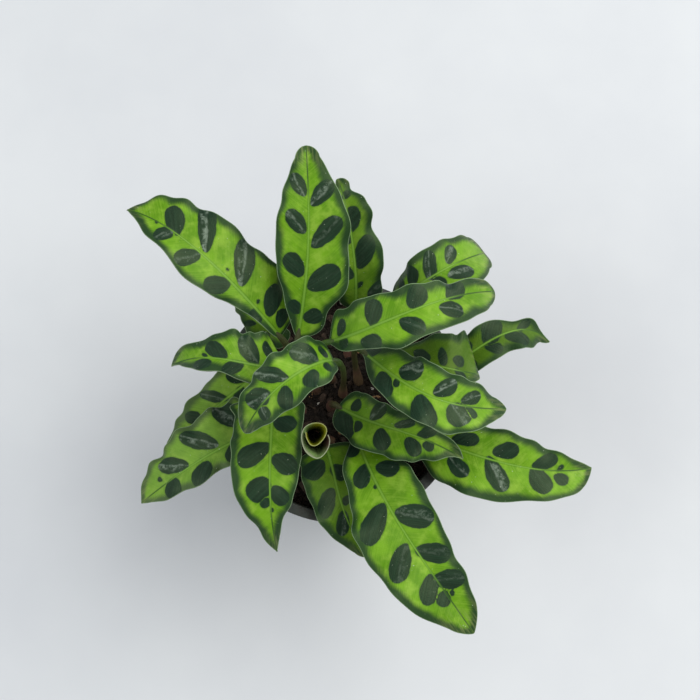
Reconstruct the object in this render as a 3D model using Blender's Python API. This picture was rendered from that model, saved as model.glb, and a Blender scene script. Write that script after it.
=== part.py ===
"""A potted rattlesnake calathea: a nursery pot, the soil in it, and each leaf with its stalk."""

import math
import random
from dataclasses import dataclass

import bmesh
import bpy
from mathutils import Matrix, Vector

MM = 0.001

# Pot, in millimetres. Its base stands on z = 0 and its axis is the Z axis.
POT_HEIGHT = 90.0
RIM_RADIUS = 51.0
BASE_RADIUS = 36.0
NECK_RADIUS = 47.8
WALL = 1.2
FLOOR = 1.6
SKIRT_DEPTH = 7.0
SKIRT_WALL = 1.0
SKIRT_TAPER = 0.6
LIP_ROUND = 0.6
FOOT_ROUND = 1.5
POT_SIDES = 48
DRAIN_HOLES = 8
DRAIN_RADIUS = 2.6
DRAIN_RING = 28.0
DRAIN_SIDES = 10

# Soil, in millimetres.
SOIL_TOP = 82.0
SOIL_MOUND = 2.0
SOIL_GAP = 0.5
SOIL_RINGS = 4
SOIL_SIDES = 36
HOLE_DEPTH = 9.0
HOLE_GAP = 0.6
HOLE_SIDES = 8
HOLE_OVER = 2.0
BUMPS = 5
BUMP_HEIGHT = (0.25, 0.55)
BUMP_SLOPE = 0.3
SEED = 7

# Leaves, in millimetres.
HALF_THICKNESS = 0.32
TIP_HALF_WIDTH = 0.6
STALK_RADIUS = 1.25
SHEATH_RADIUS = 2.1
SHEATH_TOP = 96.0
STALK_LEAN = 0.25
STALK_RISE = 0.33
NUDGE = 0.01
RIB_DEPTH = 1.0
RIB_TAPER = 0.8
NECK = 0.1
BASE_ROUNDNESS = 2.0
CREST_REACH = 0.2
EDGE_DROOP = 0.45
END_CROWDING = 0.5
STALK_RINGS = 5
BLADE_RINGS = 13
# Places across the blade, from its left edge to its right edge, with the rib at 0.
ACROSS = (-1.0, -0.62, -0.12, 0.0, 0.12, 0.62, 1.0)
# Places along the blade where the half-widths below are given, from base to tip.
STATIONS = (0.05, 0.15, 0.28, 0.42, 0.56, 0.7, 0.83, 0.94)
ROLL_PLUG = 2.5
SHARP_ANGLE = 50.0

LEAF_COLOUR = (0.16, 0.36, 0.03)
LEAF_ROUGHNESS = 0.35
POT_COLOUR = (0.07, 0.1, 0.085)
POT_ROUGHNESS = 0.45
SOIL_COLOUR = (0.03, 0.02, 0.014)
SOIL_ROUGHNESS = 0.95


@dataclass
class Leaf:
    """One leaf, in millimetres. Left and right are as seen from above, looking from base to tip."""

    root: tuple  # x, y where the stalk stands in the soil
    rib: tuple  # four points of the rib, evenly spaced from the blade's base to its tip
    left: tuple  # half-widths at STATIONS
    right: tuple
    roll: float = 0.0  # degrees that the blade turns about its rib; positive lifts the left half
    fold: float = 14.0  # degrees that each half rises from the rib
    wave: tuple = (1.0, 1.0)  # height of the waves of the left and the right edge
    waves: tuple = (3.0, 3.0)  # waves along each edge
    start: tuple = (0.0, 0.4)  # where in a wave each edge starts, in turns


LEAVES = {
    "leaf_left_broad": Leaf(
        root=(1, 3),
        rib=((-2, 7, 132), (-12, 1, 147), (-25, -9, 148), (-36, -21, 132)),
        left=(3.5, 6.5, 9, 8.5, 10, 8.5, 6.5, 3),
        right=(7.5, 9.5, 11, 11, 10.5, 9.5, 7.5, 4),
        wave=(1.4, 1.4),
        waves=(2.6, 3.2),
        start=(0.0, 0.5),
    ),
    "leaf_right_long": Leaf(
        root=(-3, 9),
        rib=((-4, 15, 130), (14, 17, 149), (36, 25, 152), (60, 34, 134)),
        left=(10, 11, 11, 10.5, 9, 7.5, 5.5, 5),
        right=(2.5, 6, 8, 12, 11, 11, 8, 4),
        wave=(1.2, 1.4),
        waves=(3.2, 3.0),
        start=(0.3, 0.9),
    ),
    "leaf_right_broad": Leaf(
        root=(8, 7),
        rib=((9, 14, 118), (24, -2, 136), (41, -11, 141), (64, -11, 128)),
        left=(4.5, 9, 11, 11.5, 11.5, 10.5, 9, 5),
        right=(2, 6.5, 8.5, 10.5, 11, 12, 8.5, 4),
        wave=(1.0, 1.3),
        waves=(2.8, 3.2),
        start=(0.1, 0.4),
    ),
    "leaf_top": Leaf(
        root=(-7, 13),
        rib=((-17, 21, 112), (-13, 44, 130), (-12, 65, 142), (-13, 88, 150)),
        left=(3, 7, 10.5, 12.5, 13, 11, 8.5, 4.5),
        right=(8.5, 10.5, 16.5, 16, 16, 13.5, 9.5, 5),
        roll=6,
        wave=(1.0, 1.0),
        waves=(3.0, 2.6),
        start=(0.2, 0.6),
    ),
    "leaf_top_behind": Leaf(
        root=(2, 16),
        rib=((6, 36, 100), (6, 49, 119), (3, 67, 130), (-1, 81, 132)),
        left=(5.5, 7.5, 9, 9, 7.5, 5.5, 3.5, 1.5),
        right=(7, 10.5, 10.5, 11.5, 9, 9, 5, 3),
        roll=8,
        wave=(0.8, 1.2),
        waves=(2.4, 3.0),
        start=(0.5, 0.2),
    ),
    "leaf_upper_left": Leaf(
        root=(-15, 9),
        rib=((-24, 22, 108), (-40, 37, 126), (-61, 55, 135), (-84, 68, 132)),
        left=(2, 3, 5.5, 10.5, 12.5, 9.5, 7.5, 2.5),
        right=(11.5, 14.5, 17.5, 17, 16.5, 15, 11.5, 5.5),
        roll=12,
        wave=(1.2, 1.4),
        waves=(3.4, 3.8),
        start=(0.8, 0.1),
    ),
    "leaf_left_narrow": Leaf(
        root=(-8, 4),
        rib=((-21, 9, 112), (-35, 7, 126), (-50, 9, 128), (-67, 9, 114)),
        left=(7, 8, 9, 8, 5.5, 6, 4, 1),
        right=(14.5, 14, 13.5, 12.5, 11.5, 9.5, 6.5, 5),
        roll=12,
        wave=(1.0, 1.2),
        waves=(2.6, 2.8),
        start=(0.2, 0.7),
    ),
    "leaf_front_left": Leaf(
        root=(-13, -5),
        rib=((-27, -3, 107), (-27, -23, 116), (-27, -43, 115), (-25, -63, 98)),
        left=(11.5, 13, 12, 12.5, 11, 8.5, 4, 1.5),
        right=(15.5, 14.5, 15.5, 15, 15, 12, 7, 3),
        roll=4,
        wave=(1.4, 1.2),
        waves=(3.0, 3.2),
        start=(0.4, 0.0),
    ),
    "leaf_centre_right": Leaf(
        root=(-4, -2),
        rib=((-1, -4, 96), (14, -13, 108), (30, -19, 112), (49, -27, 106)),
        left=(8, 9.5, 9, 8.5, 7, 6, 5, 3),
        right=(7, 9.5, 11.5, 11.5, 11.5, 10, 6.5, 1.5),
        roll=8,
        wave=(1.2, 1.3),
        waves=(2.8, 3.2),
        start=(0.6, 0.3),
    ),
    "leaf_bottom": Leaf(
        root=(5, -9),
        rib=((6, -14, 93), (17, -42, 107), (32, -67, 111), (52, -95, 104)),
        left=(10, 13, 14.5, 15.5, 14, 12, 10, 6),
        right=(4, 9.5, 12.5, 17, 18.5, 17, 14, 7),
        roll=4,
        wave=(1.3, 1.5),
        waves=(3.6, 3.4),
        start=(0.1, 0.7),
    ),
    "leaf_bottom_shaded": Leaf(
        root=(0, -16),
        rib=((-6, -19, 88), (-2, -34, 94), (2, -48, 94), (11, -64, 85)),
        left=(9.5, 11, 11.5, 11.5, 11.5, 10, 7.5, 3),
        right=(11.5, 12.5, 13, 12.5, 11.5, 10, 7, 3.5),
        wave=(0.8, 0.8),
        waves=(2.4, 2.6),
        start=(0.0, 0.5),
    ),
    "leaf_lower_right": Leaf(
        root=(13, -5),
        rib=((25, -10, 88), (48, -22, 98), (75, -30, 101), (102, -29, 94)),
        left=(9, 10.5, 11, 12.5, 12.5, 10.5, 7, 3),
        right=(4.5, 8, 14.5, 16, 16, 13, 11, 7),
        roll=6,
        wave=(1.2, 1.4),
        waves=(3.2, 3.0),
        start=(0.4, 0.9),
    ),
    "leaf_right_inner": Leaf(
        root=(14, 9),
        rib=((21, 14, 106), (32, 10, 115), (44, 7, 117), (56, 7, 106)),
        left=(5.5, 7, 10.5, 13, 13.5, 14, 15, 12),
        right=(2.5, 4.5, 7.5, 8.5, 8, 7, 5.5, 3),
        roll=-10,
        wave=(1.2, 0.8),
        waves=(2.2, 2.4),
        start=(0.3, 0.8),
    ),
    "leaf_far_right": Leaf(
        root=(18, 3),
        rib=((40, 10, 92), (53, 17, 100), (70, 26, 102), (87, 24, 92)),
        left=(4.5, 7, 8.5, 7, 7.5, 4.5, 4, 0.5),
        right=(3, 5.5, 7.5, 8, 8, 8, 7.5, 3),
        wave=(1.4, 1.0),
        waves=(2.8, 2.6),
        start=(0.9, 0.3),
    ),
    "leaf_upper_right": Leaf(
        root=(9, 17),
        rib=((21, 39, 104), (31, 40, 122), (43, 46, 127), (59, 57, 110)),
        left=(10.5, 10.5, 10.5, 11, 11, 11, 9.5, 8),
        right=(3.5, 4.5, 6, 8, 10.5, 12, 10.5, 4),
        wave=(1.2, 1.0),
        waves=(2.6, 2.4),
        start=(0.2, 0.6),
    ),
    "leaf_lower_left": Leaf(
        root=(-16, -13),
        rib=((-32, -14, 98), (-48, -22, 100), (-64, -31, 95), (-82, -42, 82)),
        left=(4, 8.5, 9, 8.5, 10, 7.5, 6.5, 2.5),
        right=(15.5, 16, 16.5, 15.5, 15.5, 12.5, 10.5, 6),
        roll=12,
        wave=(1.2, 1.2),
        waves=(3.0, 3.4),
        start=(0.7, 0.2),
    ),
    "leaf_lower_left_behind": Leaf(
        root=(-18, 0),
        rib=((-32, 11, 94), (-45, 1, 94), (-59, -10, 90), (-74, -21, 78)),
        left=(2.5, 5.5, 7.5, 9.5, 9, 7.5, 5.5, 2),
        right=(5.5, 9.5, 10.5, 10, 9.5, 7.5, 5.5, 2),
        wave=(1.0, 1.0),
        waves=(2.6, 2.8),
        start=(0.0, 0.4),
    ),
    "leaf_small_left": Leaf(
        root=(-17, 18),
        rib=((-23, 23, 90), (-30, 28, 96), (-37, 33, 97), (-44, 39, 92)),
        left=(3, 4.5, 6.5, 6.5, 6.5, 4, 2, 1.5),
        right=(4.5, 5.5, 7, 7, 7, 6.5, 4.5, 2),
        wave=(0.6, 0.6),
        waves=(2.2, 2.0),
        start=(0.5, 0.0),
    ),
}

# The new leaf, still rolled up: the foot of its stalk, the roll's lower end and its open mouth.
ROLL_ROOT = (-7, -10)
ROLL_FOOT = (-9, -16, 98)
ROLL_MOUTH = (-9, -24, 135)
ROLL_RADIUS = (3.0, 6.2)
ROLL_PITCH = (1.0, 1.9)
ROLL_TURNS = 1.45
ROLL_START = 100.0
ROLL_STEPS = 18
ROLL_RINGS = 5
SHEET = 0.62


def blend(a, b, share):
    return a + (b - a) * share


def smooth_step(share):
    share = min(max(share, 0.0), 1.0)
    return share * share * (3.0 - 2.0 * share)


def rib_point(leaf, t):
    """The rib at t, from 0 at the base to 1 at the tip, on a cubic through the four points given."""
    shares = (
        -4.5 * (t - 1 / 3) * (t - 2 / 3) * (t - 1),
        13.5 * t * (t - 2 / 3) * (t - 1),
        -13.5 * t * (t - 1 / 3) * (t - 1),
        4.5 * t * (t - 1 / 3) * (t - 2 / 3),
    )
    return sum((Vector(point) * share for point, share in zip(leaf.rib, shares)), Vector())


def rib_direction(leaf, t):
    return (rib_point(leaf, t + NUDGE) - rib_point(leaf, t - NUDGE)).normalized()


def blade_axes(leaf, t):
    """The directions across the blade, to the right, and out of its upper face."""
    along = rib_direction(leaf, t)
    face = (Vector((0, 0, 1)) - along * along.z).normalized()
    face = Matrix.Rotation(math.radians(leaf.roll), 3, along) @ face
    return along.cross(face), face


def half_width(widths, t):
    """The half-width at t, smooth through those at STATIONS and zero at both ends."""
    places = (0.0, *STATIONS, 1.0)
    values = (0.0, *widths, 0.0)
    k = 0
    while k < len(STATIONS) and t > places[k + 1]:
        k += 1

    def slope(i):
        if i == 0:
            return BASE_ROUNDNESS * values[1] / places[1]
        if i == len(places) - 1:
            return (values[i] - values[i - 1]) / (places[i] - places[i - 1])
        return (values[i + 1] - values[i - 1]) / (places[i + 1] - places[i - 1])

    step = places[k + 1] - places[k]
    x = (t - places[k]) / step
    return (
        (1 + 2 * x) * (1 - x) ** 2 * values[k]
        + x * (1 - x) ** 2 * step * slope(k)
        + x * x * (3 - 2 * x) * values[k + 1]
        - x * x * (1 - x) * step * slope(k + 1)
    )


def edge_rise(leaf, t, side):
    """How far the waves lift the edge at t. The side is 0 for left and 1 for right."""
    turns = leaf.waves[side] * t + leaf.start[side]
    fade = math.sqrt(max(0.0, math.sin(math.pi * t)))
    return leaf.wave[side] * math.sin(2 * math.pi * turns) * fade


def blade_point(leaf, t, v):
    """The middle of the blade's thickness at t along the rib and v across, from -1 at the left edge to 1."""
    across, face = blade_axes(leaf, t)
    side = int(v > 0)
    rise = edge_rise(leaf, t, side)
    reach = half_width((leaf.left, leaf.right)[side], t) + CREST_REACH * rise
    out = v * max(reach, TIP_HALF_WIDTH)
    lift = abs(out) * math.tan(math.radians(leaf.fold)) * (1 - EDGE_DROOP * abs(v))
    return rib_point(leaf, t) + across * out + face * (lift + rise * v * v)


def round_ring(centre, across, face, radius, sides=2 * len(ACROSS)):
    """A circle, from the left over the top and back below, usually of as many points as a blade's ring."""
    turns = [0.5 - (k + 0.5) / sides for k in range(sides)]
    angles = [2 * math.pi * turn for turn in turns]
    return [centre + across * radius * math.cos(a) + face * radius * math.sin(a) for a in angles]


def blade_ring(leaf, t):
    across, face = blade_axes(leaf, t)
    middles = [blade_point(leaf, t, v) for v in ACROSS]
    top = [point + face * HALF_THICKNESS for point in middles]
    below = []
    for v, point in zip(ACROSS, middles):
        depth = HALF_THICKNESS if v else HALF_THICKNESS + RIB_DEPTH * (1 - RIB_TAPER * t)
        below.append(point - face * depth)
    ring = top + below[::-1]
    share = smooth_step(t / NECK)
    circle = round_ring(rib_point(leaf, t), across, face, STALK_RADIUS)
    return [near.lerp(far, share) for near, far in zip(circle, ring)]


def bezier(points, u):
    while len(points) > 1:
        points = [a.lerp(b, u) for a, b in zip(points, points[1:])]
    return points[0]


def stalk_handles(root, base, along):
    """The stalk's path: up out of the soil, leaning to its leaf, and into the rib's direction."""
    foot = Vector((*root, SOIL_TOP - HOLE_DEPTH))
    base = Vector(base)
    lean = (base - foot) * STALK_LEAN
    height = (base - foot).length
    rise = Vector((lean.x, lean.y, height * STALK_RISE))
    return [foot, foot + rise, base - along * height * STALK_RISE, base]


def leaf_stalk(leaf):
    """The stalk's path and its direction across, which the blade shares."""
    across, _ = blade_axes(leaf, 0.0)
    return stalk_handles(leaf.root, leaf.rib[0], rib_direction(leaf, 0.0)), across


def stalk_rings(handles, across):
    """Rings from the foot up to just short of the blade. They keep the blade's own direction across."""
    rings = []
    for k in range(STALK_RINGS):
        u = k / STALK_RINGS
        centre = bezier(handles, u)
        along = (bezier(handles, u + NUDGE) - centre).normalized()
        right = (across - along * across.dot(along)).normalized()
        rings.append(round_ring(centre, right, right.cross(along), stalk_radius(centre.z)))
    return rings


def stalk_radius(z):
    """The stalk is thickest in its sheath, from the soil up to SHEATH_TOP."""
    return blend(SHEATH_RADIUS, STALK_RADIUS, smooth_step((z - SOIL_TOP) / (SHEATH_TOP - SOIL_TOP)))


def lofted(rings):
    """Triangles over the rings, split alike on both faces of the blade, with both ends closed."""
    size = len(rings[0])
    half = size // 2
    points = [point for ring in rings for point in ring]
    faces = [tuple(range(size))[::-1]]
    for r in range(len(rings) - 1):
        a, b = r * size, (r + 1) * size
        for k in range(size):
            n = (k + 1) % size
            if k < half:
                faces += [(a + k, a + n, b + n), (a + k, b + n, b + k)]
            else:
                faces += [(a + k, a + n, b + k), (a + n, b + n, b + k)]
    last = (len(rings) - 1) * size
    for k in range(half - 1):
        near, far = last + k, last + size - 1 - k
        faces += [(near, near + 1, far - 1), (near, far - 1, far)]
    return points, faces


def mesh_object(name, points, faces, material):
    mesh = bpy.data.meshes.new(name)
    mesh.from_pydata([point * MM for point in points], [], faces)
    mesh.update()
    body = bmesh.new()
    body.from_mesh(mesh)
    if body.calc_volume(signed=True) < 0:
        bmesh.ops.reverse_faces(body, faces=body.faces)
    body.to_mesh(mesh)
    body.free()
    mesh.materials.append(material)
    mesh.shade_smooth()
    mesh.set_sharp_from_angle(angle=math.radians(SHARP_ANGLE))
    thing = bpy.data.objects.new(name, mesh)
    bpy.context.collection.objects.link(thing)
    return thing


def plain_material(name, colour, roughness):
    material = bpy.data.materials.new(name)
    material.use_nodes = True
    shader = material.node_tree.nodes["Principled BSDF"]
    shader.inputs["Base Color"].default_value = (*colour, 1.0)
    shader.inputs["Roughness"].default_value = roughness
    shader.inputs["Metallic"].default_value = 0.0
    return material


def blade_times():
    """Places of the blade's rings, closer together near both ends."""
    steps = [k / (BLADE_RINGS - 1) for k in range(BLADE_RINGS)]
    return [blend(t, 0.5 - 0.5 * math.cos(math.pi * t), END_CROWDING) for t in steps]


def make_leaf(name, leaf):
    rings = stalk_rings(*leaf_stalk(leaf))
    rings += [blade_ring(leaf, t) for t in blade_times()]
    material = plain_material(f"{name}_green", LEAF_COLOUR, LEAF_ROUGHNESS)
    return mesh_object(name, *lofted(rings), material)


def turned(profile, sides):
    """A body turned about the Z axis from an outline of radius and height, closed flat at both ends."""
    count = len(profile)
    points = []
    for s in range(sides):
        angle = 2 * math.pi * s / sides
        points += [Vector((r * math.cos(angle), r * math.sin(angle), z)) for r, z in profile]
    faces = []
    for s in range(sides):
        a, b = s * count, (s + 1) % sides * count
        faces += [(a + k, b + k, b + k + 1, a + k + 1) for k in range(count - 1)]
    starts = range(0, count * sides, count)
    faces += [tuple(starts)[::-1], tuple(start + count - 1 for start in starts)]
    return points, faces


def combine(body, tools, operation):
    """Takes the tools out of the body or joins them to it, one after another, and removes them."""
    for tool in tools:
        step = body.modifiers.new(operation.lower(), "BOOLEAN")
        step.operation = operation
        step.solver = "EXACT"
        step.object = tool
    bpy.context.view_layer.update()
    graph = bpy.context.evaluated_depsgraph_get()
    made = bpy.data.meshes.new_from_object(body.evaluated_get(graph))
    body.modifiers.clear()
    body.data = made
    for tool in tools:
        bpy.data.objects.remove(tool)


def wall_radius(z):
    return blend(BASE_RADIUS, NECK_RADIUS, z / POT_HEIGHT)


def pot_profile():
    """The pot's outline, from under its floor up the outside, over the rim and down the inside."""
    skirt_foot = POT_HEIGHT - SKIRT_DEPTH
    rim_foot = POT_HEIGHT - SKIRT_WALL
    mouth = wall_radius(POT_HEIGHT) - WALL
    return [
        (BASE_RADIUS - FOOT_ROUND, 0.0),
        (wall_radius(FOOT_ROUND), FOOT_ROUND),
        (wall_radius(rim_foot), rim_foot),
        (RIM_RADIUS - SKIRT_WALL, rim_foot),
        (RIM_RADIUS - SKIRT_WALL - SKIRT_TAPER, skirt_foot),
        (RIM_RADIUS - SKIRT_TAPER, skirt_foot),
        (RIM_RADIUS, POT_HEIGHT - LIP_ROUND),
        (RIM_RADIUS - LIP_ROUND, POT_HEIGHT),
        (mouth + LIP_ROUND, POT_HEIGHT),
        (mouth, POT_HEIGHT - LIP_ROUND),
        (wall_radius(FLOOR) - WALL, FLOOR),
    ]


def make_pot():
    """A thin tapered wall and a flat floor, with a rim that turns outwards and down into a skirt."""
    material = plain_material("pot_plastic", POT_COLOUR, POT_ROUGHNESS)
    pot = mesh_object("pot", *turned(pot_profile(), POT_SIDES), material)
    drill = plain_material("drill", POT_COLOUR, POT_ROUGHNESS)
    across, back = Vector((1, 0, 0)), Vector((0, 1, 0))
    cutters = []
    for k in range(DRAIN_HOLES):
        angle = 2 * math.pi * k / DRAIN_HOLES
        x, y = DRAIN_RING * math.cos(angle), DRAIN_RING * math.sin(angle)
        ends = [Vector((x, y, z)) for z in (-FLOOR, 2 * FLOOR)]
        rings = [round_ring(end, across, back, DRAIN_RADIUS, DRAIN_SIDES) for end in ends]
        cutters.append(mesh_object("drain_hole", *lofted(rings), drill))
    combine(pot, cutters, "DIFFERENCE")
    return pot


def soil_bumps():
    """A few shallow waves that run across the soil: height, slopes of the phase in x and y, and start."""
    draw = random.Random(SEED)
    bumps = []
    for _ in range(BUMPS):
        height = draw.uniform(*BUMP_HEIGHT)
        slopes = draw.uniform(-BUMP_SLOPE, BUMP_SLOPE), draw.uniform(-BUMP_SLOPE, BUMP_SLOPE)
        bumps.append((height, *slopes, draw.uniform(0, 2 * math.pi)))
    return bumps


def soil_height(x, y, bumps):
    """The soil's surface: a low mound with a few shallow bumps."""
    reach = math.hypot(x, y) / soil_radius(SOIL_TOP)
    bump = sum(height * math.sin(dx * x + dy * y + start) for height, dx, dy, start in bumps)
    return SOIL_TOP - SOIL_MOUND * reach * reach + bump


def soil_radius(z):
    return wall_radius(z) - WALL - SOIL_GAP


def make_soil(stalks):
    """The soil fills the pot to just below the rim. Each stalk stands in a hole of its own."""
    bumps = soil_bumps()
    edge = soil_radius(SOIL_TOP - SOIL_MOUND)
    floor = FLOOR + SOIL_GAP
    turns = [2 * math.pi * s / SOIL_SIDES for s in range(SOIL_SIDES)]
    points = [Vector((0, 0, soil_height(0, 0, bumps)))]
    for ring in range(1, SOIL_RINGS + 1):
        for turn in turns:
            x, y = (edge * ring / SOIL_RINGS * f(turn) for f in (math.cos, math.sin))
            points.append(Vector((x, y, soil_height(x, y, bumps))))
    foot = soil_radius(floor)
    points += [Vector((foot * math.cos(turn), foot * math.sin(turn), floor)) for turn in turns]
    faces = [(0, 1 + s, 1 + (s + 1) % SOIL_SIDES) for s in range(SOIL_SIDES)]
    for ring in range(SOIL_RINGS):
        a, b = 1 + ring * SOIL_SIDES, 1 + (ring + 1) * SOIL_SIDES
        for s in range(SOIL_SIDES):
            n = (s + 1) % SOIL_SIDES
            faces += [(a + s, b + s, b + n), (a + s, b + n, a + n)]
    faces.append(tuple(range(len(points) - SOIL_SIDES, len(points)))[::-1])
    material = plain_material("soil_brown", SOIL_COLOUR, SOIL_ROUGHNESS)
    soil = mesh_object("soil", points, faces, material)
    combine(soil, [hole_cutter(*stalk) for stalk in stalks], "DIFFERENCE")
    return soil


def hole_cutter(handles, across):
    """A tube with a few sides along a stalk's foot, wider than the stalk by HOLE_GAP all round."""
    centres = [bezier(handles, k / STALK_RINGS) for k in range(STALK_RINGS)]
    above = [centre.z > SOIL_TOP + HOLE_OVER for centre in centres].index(True)
    rings = []
    for k in range(above + 1):
        along = (bezier(handles, k / STALK_RINGS + NUDGE) - centres[k]).normalized()
        right = (across - along * across.dot(along)).normalized()
        centre = centres[k] - along * HOLE_GAP if k == 0 else centres[k]
        radius = stalk_radius(centre.z) + HOLE_GAP
        rings.append(round_ring(centre, right, right.cross(along), radius, HOLE_SIDES))
    return mesh_object("hole", *lofted(rings), plain_material("hole", SOIL_COLOUR, SOIL_ROUGHNESS))


def roll_axes():
    """The roll's direction, the direction across it and the one square to both."""
    along = (Vector(ROLL_MOUTH) - Vector(ROLL_FOOT)).normalized()
    right = Vector((0, 1, 0)).cross(along).normalized()
    return along, right, right.cross(along)


def roll_stalk_path():
    along, right, _ = roll_axes()
    return stalk_handles(ROLL_ROOT, ROLL_FOOT, along), right


def roll_ring(share):
    """The rolled sheet's outline, out along its outer face and back along its inner one."""
    _, right, face = roll_axes()
    centre = Vector(ROLL_FOOT).lerp(Vector(ROLL_MOUTH), share)
    radius = blend(*ROLL_RADIUS, share * share)
    pitch = blend(*ROLL_PITCH, share * share)
    turns = [ROLL_TURNS * k / ROLL_STEPS for k in range(ROLL_STEPS + 1)]
    ring = []
    for turn, depth in [(turn, 0.0) for turn in turns] + [(turn, SHEET) for turn in turns[::-1]]:
        reach = radius - pitch * turn - depth
        angle = math.radians(ROLL_START) + 2 * math.pi * turn
        ring.append(centre + right * reach * math.cos(angle) + face * reach * math.sin(angle))
    return ring


def make_roll():
    """The newest leaf, a sheet rolled up round its own axis, open at the top, on its stalk."""
    rings = [roll_ring(k / ROLL_RINGS) for k in range(ROLL_RINGS + 1)]
    points = [point for ring in rings for point in ring]
    size = len(rings[0])
    faces = []
    for ring in range(ROLL_RINGS):
        a, b = ring * size, (ring + 1) * size
        for k in range(size):
            n = (k + 1) % size
            faces += [(a + k, a + n, b + n), (a + k, b + n, b + k)]
    for start, turn in ((0, 1), (ROLL_RINGS * size, -1)):
        for k in range(ROLL_STEPS):
            far = size - 1 - k
            faces.append((start + k, start + far, start + far - 1, start + k + 1)[::turn])
    material = plain_material("leaf_rolled_new_green", LEAF_COLOUR, LEAF_ROUGHNESS)
    roll = mesh_object("leaf_rolled_new", points, faces, material)
    stalk = make_roll_stalk(material)
    combine(roll, [stalk], "UNION")
    return roll


def make_roll_stalk(material):
    """The rolled leaf's stalk, which widens at its top into a plug that holds the roll's lower end."""
    along, right, face = roll_axes()
    rings = stalk_rings(*roll_stalk_path())
    plug = ROLL_RADIUS[0] + SHEET
    for rise, radius in ((-ROLL_PLUG, STALK_RADIUS), (0.0, plug), (ROLL_PLUG, plug)):
        rings.append(round_ring(Vector(ROLL_FOOT) + along * rise, right, face, radius))
    return mesh_object("roll_stalk", *lofted(rings), material)


def clear_scene():
    for thing in list(bpy.data.objects):
        bpy.data.objects.remove(thing)


def main():
    clear_scene()
    make_pot()
    stalks = [leaf_stalk(leaf) for leaf in LEAVES.values()]
    make_soil([*stalks, roll_stalk_path()])
    for name, leaf in LEAVES.items():
        make_leaf(name, leaf)
    make_roll()


if __name__ == "__main__":
    main()
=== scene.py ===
"""The look of a potted rattlesnake calathea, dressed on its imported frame."""

import math
from dataclasses import dataclass

import bmesh
import bpy
import numpy as np
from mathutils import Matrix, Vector, noise


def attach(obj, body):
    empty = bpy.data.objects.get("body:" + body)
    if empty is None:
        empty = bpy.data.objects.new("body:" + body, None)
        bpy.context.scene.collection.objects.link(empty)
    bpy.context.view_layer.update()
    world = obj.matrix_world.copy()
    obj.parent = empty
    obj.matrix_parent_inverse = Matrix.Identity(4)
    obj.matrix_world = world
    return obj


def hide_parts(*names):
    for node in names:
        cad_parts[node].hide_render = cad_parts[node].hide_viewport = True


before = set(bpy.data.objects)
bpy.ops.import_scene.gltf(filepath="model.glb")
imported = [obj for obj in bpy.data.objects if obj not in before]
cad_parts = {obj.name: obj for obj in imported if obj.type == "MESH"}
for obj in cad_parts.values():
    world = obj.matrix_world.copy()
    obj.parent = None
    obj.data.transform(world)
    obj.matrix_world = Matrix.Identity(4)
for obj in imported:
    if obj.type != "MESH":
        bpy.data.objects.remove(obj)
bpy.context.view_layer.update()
MM = 0.001

# Pot, in millimetres.
POT_HEIGHT = 90.0
RIM_RADIUS = 51.0
BASE_RADIUS = 36.0
NECK_RADIUS = 47.8
WALL = 1.2
FLOOR = 1.6
SKIRT_DEPTH = 7.0
SKIRT_WALL = 1.0
SKIRT_TAPER = 0.6
LIP_ROUND = 0.6
FOOT_ROUND = 1.5
STEP_DEPTH = 19.0
STEP_OUT = 0.35
POT_SIDES = 180
DRAIN_HOLES = 8
DRAIN_RADIUS = 2.6
DRAIN_RING = 28.0

# Soil, in millimetres.
SOIL_TOP = 82.0
SOIL_MOUND = 2.0
SOIL_GAP = 0.5
SOIL_RINGS = 90
SOIL_SIDES = 260
HOLE_DEPTH = 9.0

# Leaves, in millimetres. These are the forms of the frame's own leaves, drawn finer.
STATIONS = (0.05, 0.15, 0.28, 0.42, 0.56, 0.7, 0.83, 0.94)
TIP_HALF_WIDTH = 0.35
BASE_ROUNDNESS = 2.0
CREST_REACH = 0.2
EDGE_DROOP = 0.45
NUDGE = 0.01
STALK_RADIUS = 1.2
SHEATH_RADIUS = 2.1
SHEATH_TOP = 96.0
STALK_LEAN = 0.25
STALK_RISE = 0.33
BLADE_ROWS = 130
BLADE_COLUMNS = 49
STALK_ROWS = 34
KEEL_ROWS = 40
STALK_SIDES = 14
CREASE = 0.7
MIDDLE_HALF_THICKNESS = 0.26
EDGE_HALF_THICKNESS = 0.13
RIPPLE_RATE = 2.1
RIPPLE_REACH = 0.4
RIPPLE_HEIGHT = 0.8
SPOT_EGG = 0.2
SPOT_GAP = 0.35


@dataclass
class Leaf:
    """One leaf, in millimetres. Left and right are as seen from above, looking from base to tip."""

    root: tuple  # x, y where the stalk stands in the soil
    rib: tuple  # four points of the rib, evenly spaced from the blade's base to its tip
    left: tuple  # half-widths at STATIONS
    right: tuple
    wave: tuple  # height of the waves of the left and the right edge
    waves: tuple  # waves along each edge
    start: tuple  # where in a wave each edge starts, in turns
    spots: tuple  # each: share of the rib, of the half-width (left is negative), length, width, slant, wear: the strength of a silvery streak, a painted highlight along the spot's middle with some real wear
    roll: float = 0.0  # degrees that the blade turns about its rib; positive lifts the left half
    fold: float = 14.0  # degrees that each half rises from the rib
    blunt: float = 0.25  # 0 for a pointed tip, 1 for a round one
    tone: float = 0.0  # 0 for the brightest lime, 1 for the deepest: partly the leaf's own tone, partly painted shade on leaves low down or under others; below 0 a pale olive wash, partly painted glare


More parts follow.
